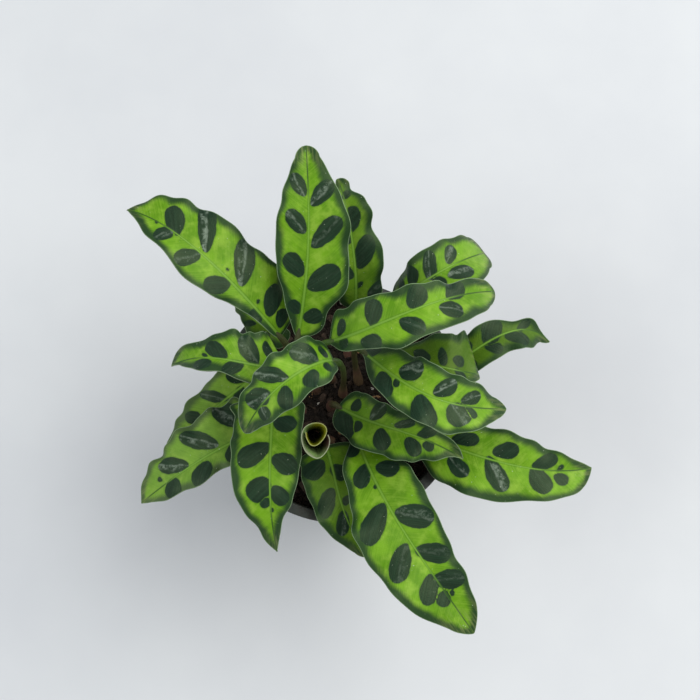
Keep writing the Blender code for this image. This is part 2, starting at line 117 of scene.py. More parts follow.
LEAVES = {
    "leaf_left_broad": Leaf(
        root=(1, 3),
        rib=((-2, 7, 132), (-12, 1, 147), (-25, -9, 148), (-36, -21, 132)),
        left=(3.5, 6.5, 9, 8.5, 10, 8.5, 6.5, 3),
        right=(7.5, 9.5, 11, 11, 10.5, 9.5, 7.5, 4),
        wave=(1.4, 1.4),
        waves=(2.6, 3.2),
        start=(0.0, 0.5),
        spots=(
            (0.12, 0.4, 6, 4, 45),
            (0.16, -0.4, 5, 4, 45),
            (0.29, 0.43, 12, 8, 40, 0.5),
            (0.36, -0.53, 9, 6, 25),
            (0.58, 0.48, 12.5, 5.5, 51, 0.9),
            (0.61, -0.5, 9, 6.5, 52),
            (0.75, 0.27, 10, 8, 18, 0.8),
            (0.79, -0.32, 6.5, 5.5, 75, 0.7),
        ),
        blunt=0.7,
    ),
    "leaf_right_long": Leaf(
        root=(-3, 9),
        rib=((-4, 15, 130), (14, 17, 149), (36, 25, 152), (60, 34, 134)),
        left=(10, 11, 11, 10.5, 9, 7.5, 5.5, 5),
        right=(2.5, 6, 8, 12, 11, 11, 9.5, 6),
        wave=(1.2, 1.4),
        waves=(3.2, 3.0),
        start=(0.3, 0.9),
        spots=(
            (0.11, -0.35, 7.5, 5, 40),
            (0.12, 0.4, 6, 4, 45),
            (0.28, 0.69, 9, 6.5, 24),
            (0.34, -0.42, 10.5, 7, 59),
            (0.51, 0.48, 10.5, 6.5, 46, 0.2),
            (0.58, -0.44, 9.5, 7.5, 39),
            (0.72, 0.41, 9, 7, 25, 0.6),
            (0.78, -0.41, 10, 7.5, 22),
        ),
        blunt=0.6,
    ),
    "leaf_right_broad": Leaf(
        root=(8, 7),
        rib=((9, 14, 118), (24, -2, 136), (41, -11, 141), (64, -11, 128)),
        left=(4.5, 9, 11, 11.5, 11.5, 10.5, 9, 5),
        right=(2, 6.5, 8.5, 10.5, 11, 12, 8.5, 4),
        wave=(1.0, 1.3),
        waves=(2.8, 3.2),
        start=(0.1, 0.4),
        spots=(
            (0.05, -0.5, 9, 5, 45),
            (0.26, 0.59, 13.5, 7, 30),
            (0.31, 0.2, 4.5, 3, 50),
            (0.34, -0.46, 11.5, 8.5, 27, 0.8),
            (0.54, 0.57, 13.5, 8, 57),
            (0.62, -0.44, 10.5, 6.5, 41, 0.9),
            (0.73, 0.33, 9.5, 9, 51, 0.6),
            (0.8, -0.34, 9, 5, 22, 0.7),
            (0.8, 0.2, 6, 3.5, 40),
        ),
        blunt=0.5,
    ),
    "leaf_top": Leaf(
        root=(-7, 13),
        rib=((-17, 21, 112), (-13, 44, 130), (-12, 65, 142), (-13, 88, 150)),
        left=(3, 7, 10.5, 12.5, 13, 11, 8.5, 4.5),
        right=(8.5, 10.5, 16.5, 16, 16, 13.5, 9.5, 5),
        roll=6,
        wave=(1.0, 1.0),
        waves=(3.0, 2.6),
        start=(0.2, 0.6),
        spots=(
            (0.11, 0.45, 8, 6.5, 68),
            (0.14, -0.45, 7, 5, 45),
            (0.3, 0.41, 15, 9, 50),
            (0.36, -0.41, 12, 7, 36),
            (0.54, 0.42, 16, 7.5, 41, 0.3),
            (0.6, -0.38, 11.5, 6.5, 37, 0.6),
            (0.75, 0.42, 12, 6.5, 42, 0.8),
            (0.8, -0.38, 10, 5.5, 27, 0.7),
        ),
        blunt=0.9,
    ),
    "leaf_top_behind": Leaf(
        root=(2, 16),
        rib=((6, 36, 100), (6, 49, 119), (3, 67, 130), (-1, 81, 132)),
        left=(5.5, 7.5, 9, 9, 7.5, 5.5, 3.5, 1.5),
        right=(7, 10.5, 10.5, 11.5, 9, 9, 5, 3),
        roll=8,
        wave=(0.8, 1.2),
        waves=(2.4, 3.0),
        start=(0.5, 0.2),
        spots=(
            (0.17, 0.75, 9, 5, 50, 0.2),
            (0.2, 0.1, 4.5, 2, 40),
            (0.3, -0.4, 8, 5.5, 45),
            (0.41, 0.36, 14.5, 7.5, 23),
            (0.52, -0.4, 7.5, 5, 45),
            (0.63, 0.16, 10, 6, 13),
            (0.7, -0.35, 6, 3.5, 45),
            (0.81, 0.2, 4.5, 3, 50),
        ),
        blunt=0.8,
        tone=0.4,
    ),
    "leaf_upper_left": Leaf(
        root=(-15, 9),
        rib=((-24, 22, 108), (-40, 37, 126), (-61, 55, 135), (-84, 68, 132)),
        left=(2, 3, 5.5, 10.5, 12.5, 9.5, 7.5, 2.5),
        right=(11.5, 14.5, 17.5, 17, 16.5, 15, 11.5, 5.5),
        roll=12,
        wave=(1.2, 1.4),
        waves=(3.4, 3.8),
        start=(0.8, 0.1),
        spots=(
            (0.08, 0.4, 8, 6, 50),
            (0.18, 0.49, 13.5, 8, 56),
            (0.19, -0.67, 6.5, 5.5, 13),
            (0.23, 0.15, 1.5, 1.5, 50),
            (0.4, 0.54, 19, 8.5, 52, 0.8),
            (0.42, -0.47, 12, 7.5, 53),
            (0.43, 0.15, 1.5, 1.5, 50),
            (0.6, -0.43, 11, 7, 55, 0.4),
            (0.62, 0.58, 20, 7, 53, 0.9),
            (0.75, -0.29, 10, 6, 60, 0.5),
            (0.75, 0.27, 12.5, 7.5, 49),
            (0.82, -0.05, 1.5, 2, 50),
        ),
        blunt=0.1,
    ),
    "leaf_left_narrow": Leaf(
        root=(-8, 4),
        rib=((-21, 9, 112), (-35, 7, 126), (-50, 9, 128), (-67, 9, 114)),
        left=(7, 8, 9, 8, 5.5, 6, 4, 1),
        right=(14.5, 14, 13.5, 12.5, 11.5, 9.5, 6.5, 5),
        roll=12,
        wave=(0.8, 1.0),
        waves=(2.6, 2.8),
        start=(0.2, 0.7),
        spots=(
            (0.15, 0.45, 9, 6, 45),
            (0.22, -0.4, 8, 5, 45),
            (0.345, 0.41, 13.5, 8.5, 50, 0.4),
            (0.47, -0.4, 9, 5.5, 38),
            (0.63, 0.31, 10.5, 6, 25),
            (0.72, -0.48, 8, 5.5, 13),
            (0.72, 0.12, 3, 1.5, 17),
        ),
    ),
    "leaf_front_left": Leaf(
        root=(-13, -5),
        rib=((-27, -3, 107), (-27, -23, 116), (-27, -43, 115), (-25, -63, 98)),
        left=(11.5, 13, 12, 12.5, 11, 8.5, 4, 1.5),
        right=(15.5, 14.5, 15.5, 15, 15, 12, 7, 3),
        roll=4,
        wave=(0.7, 0.7),
        waves=(3.0, 3.2),
        start=(0.4, 0.0),
        spots=(
            (0.05, -0.45, 7, 5, 45),
            (0.14, 0.45, 10, 6.5, 45),
            (0.2, -0.42, 10, 7.5, 70),
            (0.4, 0.42, 14.5, 8, 55),
            (0.46, -0.47, 11, 8, 62),
            (0.62, 0.29, 10.5, 9, 42),
            (0.66, -0.39, 8.5, 7, 38),
            (0.7, 0.18, 5, 4, 0),
            (0.75, -0.07, 2, 1.5, -2),
        ),
        blunt=0.1,
    ),
    "leaf_centre_right": Leaf(
        root=(-4, -2),
        rib=((-1, -4, 96), (14, -13, 108), (30, -19, 112), (49, -27, 106)),
        left=(8, 9.5, 9, 8.5, 7, 6, 5, 3),
        right=(7, 9.5, 11.5, 11.5, 11.5, 10, 6.5, 1.5),
        roll=8,
        wave=(1.2, 1.3),
        waves=(2.8, 3.2),
        start=(0.6, 0.3),
        spots=(
            (0.12, 0.6, 14, 9, 40),
            (0.14, -0.4, 6, 5, 45),
            (0.22, 0.35, 5, 4.5, 45),
            (0.33, -0.5, 9, 5.5, 58, 0.5),
            (0.43, 0.48, 9, 7, 61),
            (0.56, -0.41, 8.5, 3.5, 29, 0.2),
            (0.67, 0.4, 8.5, 6, 36),
            (0.73, -0.5, 8.5, 4.5, 41),
            (0.77, 0.24, 5, 4, -9),
        ),
        blunt=0.15,
    ),
    "leaf_bottom": Leaf(
        root=(5, -9),
        rib=((6, -14, 93), (17, -42, 107), (32, -67, 111), (52, -95, 104)),
        left=(10, 13, 14.5, 15.5, 14, 12, 10, 6),
        right=(4, 9.5, 12.5, 17, 18.5, 17, 14, 7),
        roll=4,
        wave=(1.3, 1.5),
        waves=(3.6, 3.4),
        start=(0.1, 0.7),
        spots=(
            (0.08, 0.5, 8, 5.5, 45),
            (0.21, 0.34, 11.5, 6.5, 35),
            (0.23, -0.48, 10.5, 7.5, 47),
            (0.28, 0.08, 2, 1.5, 45),
            (0.43, 0.46, 18, 8.5, 52),
            (0.49, -0.44, 16, 9.5, 48, 0.5),
            (0.63, 0.44, 15.5, 8, 50, 0.2),
            (0.67, -0.38, 14, 7.5, 47, 0.2),
            (0.78, 0.3, 12, 7, 43),
            (0.79, -0.35, 12.5, 7.5, 61, 0.3),
            (0.84, -0.2, 2, 2, 50),
            (0.84, 0.14, 6.5, 5.5, 51),
        ),
        blunt=0.35,
    ),
    "leaf_bottom_shaded": Leaf(
        root=(0, -16),
        rib=((-6, -19, 88), (-2, -34, 94), (2, -48, 94), (11, -64, 85)),
        left=(9.5, 11, 11.5, 11.5, 11.5, 10, 7.5, 3),
        right=(11.5, 12.5, 13, 12.5, 11.5, 10, 7, 3.5),
        wave=(0.8, 0.8),
        waves=(2.4, 2.6),
        start=(0.0, 0.5),
        spots=(
            (0.2, 0.56, 11, 8.5, 52),
            (0.27, -0.19, 8.5, 6.5, 39),
            (0.52, 0.46, 12, 6.5, 37),
            (0.55, -0.2, 3, 4, 50),
            (0.72, 0.22, 10, 5.5, 29, 0.5),
            (0.8, -0.3, 5, 3.5, 45),
        ),
        blunt=0.6,
        tone=0.5,
    ),
    "leaf_lower_right": Leaf(
        root=(13, -5),
        rib=((25, -10, 88), (48, -22, 98), (75, -30, 101), (102, -29, 94)),
        left=(9, 10.5, 11, 12.5, 12.5, 10.5, 7, 3),
        right=(4.5, 8, 14.5, 16, 16, 13, 11, 7),
        roll=6,
        wave=(1.2, 1.4),
        waves=(3.2, 3.0),
        start=(0.4, 0.9),
        spots=(
            (0.16, -0.45, 8, 5.5, 45),
            (0.18, 0.4, 8, 5.5, 45),
            (0.35, -0.39, 11.5, 5.5, 17),
            (0.36, 0.45, 10.5, 6.5, 25, 0.6),
            (0.53, 0.32, 15.5, 7.5, 50, 0.8),
            (0.55, -0.37, 11, 6.5, 19),
            (0.73, 0.34, 11.5, 8, 52),
            (0.75, -0.35, 11.5, 6, 27),
            (0.83, -0.15, 3.5, 2, 40),
            (0.83, 0.31, 6, 5, 20),
        ),
    ),
    "leaf_right_inner": Leaf(
        root=(14, 9),
        rib=((21, 14, 106), (32, 10, 115), (44, 7, 117), (56, 7, 106)),
        left=(5.5, 7, 10.5, 13, 14, 15, 16.5, 13.5),
        right=(2.5, 4.5, 7.5, 8.5, 8, 7, 5.5, 3),
        roll=-10,
        wave=(0.7, 0.8),
        waves=(2.2, 2.4),
        start=(0.3, 0.8),
        spots=(
            (0.25, 0.4, 5, 3.5, 45),
            (0.32, -0.27, 9, 4.5, -14),
            (0.5, 0.45, 6, 3.5, 45),
            (0.55, -0.3, 7.5, 4, -66),
            (0.74, -0.24, 6, 4.5, -7),
            (0.76, 0.25, 6.5, 3.5, 40),
        ),
        blunt=0.6,
        tone=0.8,
    ),
    "leaf_far_right": Leaf(
        root=(18, 3),
        rib=((40, 10, 92), (53, 17, 100), (70, 26, 102), (87, 24, 92)),
        left=(4.5, 7, 8.5, 7, 7.5, 4.5, 4, 0.5),
        right=(3, 5.5, 7.5, 8, 8, 8, 7.5, 3),
        wave=(1.4, 1.0),
        waves=(2.8, 2.6),
        start=(0.9, 0.3),
        spots=(
            (0.28, 0.45, 8, 5.5, 45),
            (0.34, -0.4, 6, 5, 45),
            (0.5, 0.4, 8, 5, 45),
            (0.53, -0.32, 12.5, 8, 54),
            (0.7, 0.39, 11.5, 5.5, 22),
            (0.76, -0.35, 7, 3.5, 40),
        ),
        blunt=0.6,
        tone=0.75,
    ),
    "leaf_upper_right": Leaf(
        root=(9, 17),
        rib=((21, 39, 104), (31, 40, 122), (43, 46, 127), (59, 57, 110)),
        left=(5, 7, 9, 10.5, 11, 11, 10, 8.5),
        right=(3.5, 4.5, 6, 8, 10.5, 12, 11, 7.5),
        wave=(0.5, 0.8),
        waves=(2.6, 2.4),
        start=(0.2, 0.6),
        spots=(
            (0.16, -0.4, 7, 4.5, 50),
            (0.32, -0.45, 9, 6.5, 45),
            (0.32, 0.4, 6, 4, 45),
            (0.5, 0.4, 8, 6, 45),
            (0.52, -0.33, 13, 5.5, 64, 0.6),
            (0.72, 0.36, 11.5, 6.5, 10, 0.8),
            (0.73, -0.38, 8.5, 5.5, 39, 0.7),
        ),
        blunt=1.0,
        tone=-0.1,
    ),
    "leaf_lower_left": Leaf(
        root=(-16, -13),
        rib=((-32, -14, 98), (-48, -22, 100), (-64, -31, 95), (-82, -42, 82)),
        left=(4, 8.5, 9, 8.5, 10, 7.5, 6.5, 2.5),
        right=(15.5, 16, 16.5, 15.5, 15.5, 12.5, 10.5, 6),
        roll=12,
        wave=(1.2, 1.2),
        waves=(3.0, 3.4),
        start=(0.7, 0.2),
        spots=(
            (0.18, 0.7, 13, 9, 67, 0.7),
            (0.26, -0.45, 9, 6, 45),
            (0.45, 0.47, 17, 7, 43, 0.8),
            (0.53, -0.59, 11.5, 8.5, 33),
            (0.7, 0.35, 14.5, 6.5, 29, 0.8),
            (0.76, -0.5, 8.5, 8, 45),
            (0.82, 0.25, 2.5, 2, 50),
        ),
        tone=-0.3,
    ),
    "leaf_lower_left_behind": Leaf(
        root=(-18, 0),
        rib=((-32, 11, 94), (-45, 1, 94), (-59, -10, 90), (-74, -21, 78)),
        left=(2.5, 5.5, 7.5, 9.5, 9, 7.5, 5.5, 2),
        right=(5.5, 9.5, 10.5, 10, 9.5, 7.5, 5.5, 2),
        wave=(1.0, 1.0),
        waves=(2.6, 2.8),
        start=(0.0, 0.4),
        spots=(
            (0.2, 0.45, 9, 6, 45),
            (0.28, -0.4, 9, 5.5, 45),
            (0.44, 0.38, 12.5, 4.5, 50, 0.4),
            (0.52, -0.4, 8, 5.5, 45),
            (0.66, 0.36, 6.5, 5, 19),
            (0.74, -0.35, 6, 4, 45),
            (0.82, 0.3, 5, 3.5, 45),
        ),
        tone=-0.3,
    ),
    "leaf_small_left": Leaf(
        root=(-17, 18),
        rib=((-23, 23, 90), (-30, 28, 96), (-37, 33, 97), (-44, 39, 92)),
        left=(3, 4.5, 6.5, 6.5, 6.5, 4, 2, 1.5),
        right=(4.5, 5.5, 7, 7, 7, 6.5, 4.5, 2),
        wave=(0.6, 0.6),
        waves=(2.2, 2.0),
        start=(0.5, 0.0),
        spots=(
            (0.3, 0.4, 6, 3.5, 45),
            (0.34, -0.4, 5.5, 3.5, 45),
            (0.58, 0.35, 6, 3.5, 45),
            (0.62, -0.4, 5, 3, 45),
            (0.8, 0.25, 3.5, 2.5, 45),
        ),
        tone=0.6,
    ),
}

# The new leaf, still rolled up: where its stalk stands, the roll's lower end and its open mouth.
ROLL_ROOT = (-7, -10)
ROLL_FOOT = (-11.2, -17.2, 98)
ROLL_MOUTH = (-9.4, -24.4, 135)
ROLL_FOOT_RADIUS = 3.0
ROLL_FOOT_SCALE = (0.56, 0.46)
ROLL_SHEET = 0.3
ROLL_FLARE = 1.0
ROLL_ROWS = 70
ROLL_COLUMNS = 170

# The rolled sheet as its mouth shows it, from its outer edge round to its inner one, right and up from the middle.
ROLL_PATH = (
    (5.2, 2.2),
    (5.9, 0.0),
    (5.25, -3.1),
    (3.2, -5.9),
    (0.9, -6.9),
    (-1.9, -5.7),
    (-3.8, -3.6),
    (-4.9, -0.4),
    (-4.9, 2.8),
    (-3.6, 5.2),
    (-0.8, 6.6),
    (2.2, 6.6),
    (4.1, 5.4),
    (4.7, 3.4),
    (3.7, 0.8),
    (1.6, -1.5),
    (-0.3, -2.2),
    (-1.9, -1.4),
    (-3.2, 1.0),
    (-3.5, 3.2),
)


# What the spot and edge fields hold where a mesh has neither.
FAR = np.full(3, 99.0)


def blend(a, b, share):
    return a + (b - a) * share


def smooth_step(share):
    share = np.clip(share, 0.0, 1.0)
    return share * share * (3.0 - 2.0 * share)


def unit(vectors):
    return vectors / np.linalg.norm(vectors, axis=-1, keepdims=True)


def running_length(points):
    """How far along a line of points each one lies."""
    steps = np.linalg.norm(np.diff(points, axis=0), axis=1)
    return np.concatenate(([0.0], np.cumsum(steps)))


class Shell:
    """Points and four-sided faces with their map, collected until they become one mesh."""

    def __init__(self):
        self.points = []
        self.fields = {}
        self.faces = []
        self.maps = []
        self.slots = []
        self.count = 0

    def add_points(self, points, **fields):
        """Adds a grid of points with the numbers that they carry, and gives the grid of their places."""
        shape = points.shape[:-1]
        size = int(np.prod(shape))
        self.points.append(points.reshape(size, 3))
        for name, values in fields.items():
            values = np.broadcast_to(values, (*shape, values.shape[-1])).reshape(size, -1)
            self.fields.setdefault(name, []).append(values)
        numbers = np.arange(self.count, self.count + size).reshape(shape)
        self.count += size
        return numbers

    def add_faces(self, numbers, slot, area, flip=False):
        """Covers a grid of points with faces, and maps them into an area from one corner to the other."""
        rows, columns = numbers.shape
        corners = [numbers[:-1, :-1], numbers[:-1, 1:], numbers[1:, 1:], numbers[1:, :-1]]
        u, v = np.meshgrid(np.linspace(area[0], area[2], columns), np.linspace(area[1], area[3], rows))
        places = np.stack((u, v), axis=-1)
        maps = [places[:-1, :-1], places[:-1, 1:], places[1:, 1:], places[1:, :-1]]
        if flip:
            corners, maps = corners[::-1], maps[::-1]
        faces = np.stack(corners, axis=-1).reshape(-1, 4)
        self.faces.append(faces)
        self.maps.append(np.stack(maps, axis=-2).reshape(-1, 4, 2))
        self.slots.append(np.full(len(faces), slot))

    def build(self, name, materials):
        mesh = bpy.data.meshes.new(name)
        points = np.concatenate(self.points) * MM
        faces = np.concatenate(self.faces)
        mesh.from_pydata(points.tolist(), [], faces.tolist())
        mesh.polygons.foreach_set("material_index", np.concatenate(self.slots).astype(np.int32))
        bake_map = mesh.uv_layers.new(name="OFBake")
        bake_map.uv.foreach_set("vector", np.concatenate(self.maps).astype(np.float32).ravel())
        for field, values in self.fields.items():
            attribute = mesh.attributes.new(field, "FLOAT_VECTOR", "POINT")
            attribute.data.foreach_set("vector", np.concatenate(values).astype(np.float32).ravel())
        close_poles(mesh)
        mesh.shade_smooth()
        return finished(name, mesh, materials)


def close_poles(mesh):
    """Merges doubled points, such as those of a pole, and turns the faces outwards."""
    work = bmesh.new()
    work.from_mesh(mesh)
    bmesh.ops.remove_doubles(work, verts=work.verts, dist=1e-6)
    bmesh.ops.dissolve_degenerate(work, edges=work.edges, dist=1e-7)
    bmesh.ops.recalc_face_normals(work, faces=work.faces)
    work.to_mesh(mesh)
    work.free()


def finished(name, mesh, materials):
    for material in materials:
        mesh.materials.append(material)
    mesh.update()
    thing = bpy.data.objects.new(name, mesh)
    bpy.context.collection.objects.link(thing)
    return thing


def stand_for(piece, node):
    """Hands a finished piece over: it rides on the plant and hides its node."""
    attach(piece, "root")
    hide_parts(node)


def rib_points(leaf, t):
    """The rib at each t, from 0 at the base to 1 at the tip, on a cubic through the leaf's four points."""
    shares = (
        -4.5 * (t - 1 / 3) * (t - 2 / 3) * (t - 1),
        13.5 * t * (t - 2 / 3) * (t - 1),
        -13.5 * t * (t - 1 / 3) * (t - 1),
        4.5 * t * (t - 1 / 3) * (t - 2 / 3),
    )
    return np.stack(shares, axis=-1) @ np.array(leaf.rib, float)


def blade_axes(leaf, t):
    """At each t the directions along the rib, across the blade to the right, and out of its upper face."""
    along = unit(rib_points(leaf, t + NUDGE) - rib_points(leaf, t - NUDGE))
    face = unit(np.array((0.0, 0.0, 1.0)) - along * along[:, 2:])
    roll = math.radians(leaf.roll)
    face = face * math.cos(roll) + np.cross(along, face) * math.sin(roll)
    return along, np.cross(along, face), face


def half_width(widths, t):
    """The half-width at each t, smooth through those at STATIONS and zero at both ends."""
    places = np.array((0.0, *STATIONS, 1.0))
    values = np.array((0.0, *widths, 0.0))
    slopes = np.empty(len(places))
    slopes[0] = BASE_ROUNDNESS * values[1] / places[1]
    slopes[1:-1] = (values[2:] - values[:-2]) / (places[2:] - places[:-2])
    slopes[-1] = (values[-1] - values[-2]) / (places[-1] - places[-2])
    k = np.clip(np.searchsorted(places, t) - 1, 0, len(places) - 2)
    step = places[k + 1] - places[k]
    x = (t - places[k]) / step
    return (
        (1 + 2 * x) * (1 - x) ** 2 * values[k]
        + x * (1 - x) ** 2 * step * slopes[k]
        + x * x * (3 - 2 * x) * values[k + 1]
        - x * x * (1 - x) * step * slopes[k + 1]
    )


def edge_rise(leaf, t, side):
    """How far the waves lift the edge at each t. The side is 0 for left and 1 for right."""
    turns = leaf.waves[side] * t + leaf.start[side]
    fade = np.sqrt(np.maximum(0.0, np.sin(math.pi * t)))
    return leaf.wave[side] * np.sin(2 * math.pi * turns) * fade


def edge_ripple(leaf, t, side):
    """The shorter ripples that the edge has on top of its waves, from -1 to 1."""
    turns = RIPPLE_RATE * leaf.waves[side] * t + 1.7 * leaf.start[side] + 0.05 * np.sin(17 * t)
    slow = 0.65 + 0.35 * np.sin(2 * math.pi * (1.3 * t + leaf.start[side]))
    amount = min(1.0, leaf.wave[side] / 1.2)
    return amount * np.sin(2 * math.pi * turns) * slow * smooth_step(t / 0.25) * smooth_step((1 - t) / 0.12)


def edge_reach(leaf, t, side):
    widths = (leaf.left, leaf.right)[side]
    reach = half_width(widths, t) + CREST_REACH * edge_rise(leaf, t, side)
    last = STATIONS[-1]
    round_tip = widths[-1] * np.sqrt(np.clip(1 - ((t - last) / (1 - last)) ** 2, 0, 1))
    reach = np.where(t > last, blend(reach, round_tip, leaf.blunt), reach)
    return np.maximum(reach + RIPPLE_REACH * edge_ripple(leaf, t, side), TIP_HALF_WIDTH)


def blade_sheet(leaf, t, v):
    """The middle of the blade's thickness over rows t and columns v, and how far out from the rib it is."""
    _, across, face = blade_axes(leaf, t)
    right = v > 0
    rise = np.where(right, edge_rise(leaf, t, 1)[:, None], edge_rise(leaf, t, 0)[:, None])
    ripple = np.where(right, edge_ripple(leaf, t, 1)[:, None], edge_ripple(leaf, t, 0)[:, None])
    reach = np.where(right, edge_reach(leaf, t, 1)[:, None], edge_reach(leaf, t, 0)[:, None])
    out = v * reach
    soft_out = np.sqrt(out * out + CREASE * CREASE) - CREASE
    lift = soft_out * math.tan(math.radians(leaf.fold)) * (1 - EDGE_DROOP * np.abs(v))
    height = lift + rise * v * v + RIPPLE_HEIGHT * ripple * np.abs(v) ** 3
    points = rib_points(leaf, t)[:, None] + across[:, None] * out[..., None] + face[:, None] * height[..., None]
    return points, out, reach


def crowded_ends(count):
    """Shares from 0 to 1 that lie closer together near both ends."""
    even = np.linspace(0.0, 1.0, count)
    return 0.5 * even + 0.25 * (1.0 - np.cos(math.pi * even))


def spot_fields(leaf, t, y, out):
    """For each point of the blade its nearest spot: place in it along and across, distance from its edge, silver (the
    strength of its painted highlight and wear).
    """
    rows, columns = out.shape
    nearest = np.full((rows, columns), 99.0)
    second = nearest.copy()
    place = np.zeros((rows, columns, 3))
    silver = np.zeros((rows, columns))
    for share, side_share, length, width, slant, *shine in leaf.spots:
        side = int(side_share > 0)
        sign = 1.0 if side else -1.0
        centre_x = side_share * edge_reach(leaf, np.array([share]), side)[0]
        centre_y = np.interp(share, t, y)
        turn = math.radians(slant)
        axis_x, axis_y = sign * math.sin(turn), math.cos(turn)
        dx, dy = out - centre_x, y[:, None] - centre_y
        a = length / 2
        p = (dx * axis_x + dy * axis_y) / a
        b = width / 2 * (1 + SPOT_EGG * np.clip(p, -1, 1))
        q = (dy * axis_x - dx * axis_y) / b
        reach = np.sqrt(p * p + q * q) + 1e-6
        pull = np.sqrt((p / a) ** 2 + (q / b) ** 2) + 1e-6
        distance = reach * (reach - 1) / pull
        closer = distance < nearest
        second = np.where(closer, nearest, np.minimum(second, distance))
        nearest = np.where(closer, distance, nearest)
        place[closer] = np.stack((p, q, distance), axis=-1)[closer]
        silver = np.where(closer, shine[0] if shine else 0.04, silver)
    place[..., 2] += np.clip(SPOT_GAP - second, 0, 3)
    return place, silver


def add_blade(shell, leaf):
    """The blade: an upper and an under face that meet in a thin edge all round."""
    t = crowded_ends(BLADE_ROWS)
    even = np.linspace(-1.0, 1.0, BLADE_COLUMNS)
    v = 0.6 * even + 0.4 * np.sin(even * math.pi / 2)
    points, out, reach = blade_sheet(leaf, t, v)
    y = running_length(rib_points(leaf, t))
    slope = np.gradient(reach, y, axis=0)
    margin = (reach - np.abs(out)) / np.sqrt(1 + slope * slope)
    place = np.stack((out, np.broadcast_to(y[:, None], out.shape), np.broadcast_to(t[:, None], out.shape)), axis=-1)
    spot, silver = spot_fields(leaf, t, y, out)
    edge = np.stack((margin, silver, np.full(out.shape, leaf.tone)), axis=-1)
    half = blend(EDGE_HALF_THICKNESS, MIDDLE_HALF_THICKNESS, smooth_step(margin / 3.0))[..., None]
    _, _, face = blade_axes(leaf, t)
    top = shell.add_points(points + face[:, None] * half, place=place, spot=spot, edge=edge)
    under = shell.add_points(points - face[:, None] * half, place=place, spot=spot, edge=edge)
    shell.add_faces(top, 0, (0.01, 0.01, 0.44, 0.99))
    shell.add_faces(under, 1, (0.46, 0.01, 0.89, 0.99), flip=True)
    close_rim(shell, top, under)


def close_rim(shell, top, under):
    """Joins the four edges of a thin sheet's two faces."""
    shell.add_faces(np.stack((top[:, 0], under[:, 0]), axis=1), 1, (0.9, 0.01, 0.905, 0.99), flip=True)
    shell.add_faces(np.stack((top[:, -1], under[:, -1]), axis=1), 1, (0.91, 0.01, 0.915, 0.99))
    shell.add_faces(np.stack((top[0], under[0]), axis=1), 1, (0.92, 0.01, 0.925, 0.49))
    shell.add_faces(np.stack((top[-1], under[-1]), axis=1), 1, (0.92, 0.51, 0.925, 0.99), flip=True)


def bezier(handles, u):
    """Points on a cubic curve through four handles, one for each u."""
    a, b, c, d = (np.array(handle, float) for handle in handles)
    u = u[:, None]
    return (1 - u) ** 3 * a + 3 * u * (1 - u) ** 2 * b + 3 * u * u * (1 - u) * c + u**3 * d


def stalk_handles(root, base, along):
    """The stalk's path: up out of the soil, leaning to its leaf, and into the rib's direction."""
    foot = np.array((*root, SOIL_TOP - HOLE_DEPTH))
    base = np.array(base, float)
    height = np.linalg.norm(base - foot)
    lean = (base - foot) * STALK_LEAN
    rise = np.array((lean[0], lean[1], height * STALK_RISE))
    return foot, foot + rise, base - along * height * STALK_RISE, base


def stalk_radius(z):
    """The stalk is thickest in its sheath, from the soil up to SHEATH_TOP."""
    return blend(SHEATH_RADIUS, STALK_RADIUS, smooth_step((z - SOIL_TOP) / (SHEATH_TOP - SOIL_TOP)))


def add_tube(shell, centres, across, radii, slot, area):
    """A round tube along a line of centres, with closed ends."""
    along = unit(np.gradient(centres, axis=0))
    right = unit(across - along * np.sum(across * along, axis=1, keepdims=True))
    up = np.cross(right, along)
    turn = np.linspace(0.0, 2 * math.pi, STALK_SIDES, endpoint=False)
    ring = right[:, None] * np.cos(turn)[:, None] + up[:, None] * np.sin(turn)[:, None]
    points = centres[:, None] + ring * radii[:, None, None]
    y = running_length(centres)
    place = np.stack(np.broadcast_arrays(turn * 2.0, y[:, None], centres[:, 2:]), axis=-1)
    numbers = shell.add_points(points, place=place, spot=FAR, edge=FAR)
    closed = np.concatenate((numbers, numbers[:, :1]), axis=1)
    shell.add_faces(closed, slot, area, flip=True)
    for end, flip in ((0, True), (-1, False)):
        middle = np.repeat(centres[end][None, None], STALK_SIDES + 1, axis=1)
        middle = shell.add_points(middle, place=place[end, 0], spot=FAR, edge=FAR)
        cap = np.concatenate((closed[end][None], middle), axis=0)
        shell.add_faces(cap, slot, (area[0], area[1], area[0] + 0.002, area[1] + 0.002), flip=flip)


def add_stalk(shell, leaf):
    """The stalk, which runs on under the blade as its rib and tapers to the tip."""
    base = np.array([0.0])
    along, across, _ = (axis[0] for axis in blade_axes(leaf, base))
    u = np.linspace(0.0, 1.0, STALK_ROWS)[:-1]
    stalk = bezier(stalk_handles(leaf.root, leaf.rib[0], along), u)
    t = np.linspace(0.0, 0.97, KEEL_ROWS)
    _, keel_across, face = blade_axes(leaf, t)
    keel_radius = blend(STALK_RADIUS, 0.25, t**0.7)
    drop = (0.85 * keel_radius + 0.1) * smooth_step(t / 0.06)
    keel = rib_points(leaf, t) - face * drop[:, None]
    centres = np.concatenate((stalk, keel))
    crosses = np.concatenate((np.repeat(across[None], len(stalk), axis=0), keel_across))
    swelling = 0.22 * np.exp(-(((u - 0.9) / 0.06) ** 2))
    radii = np.concatenate((stalk_radius(stalk[:, 2]) + swelling, keel_radius))
    add_tube(shell, centres, crosses, radii, 2, (0.93, 0.01, 0.99, 0.99))


def make_leaves(materials):
    for name, leaf in LEAVES.items():
        shell = Shell()
        add_blade(shell, leaf)
        add_stalk(shell, leaf)
        stand_for(shell.build(f"{name}_blade", materials), name)


def roll_axes():
    """The roll's direction, the direction across it and the one square to both."""
    along = unit(np.array(ROLL_MOUTH, float) - np.array(ROLL_FOOT, float))
    right = unit(np.cross((0.0, 1.0, 0.0), along))
    return along, right, np.cross(right, along)


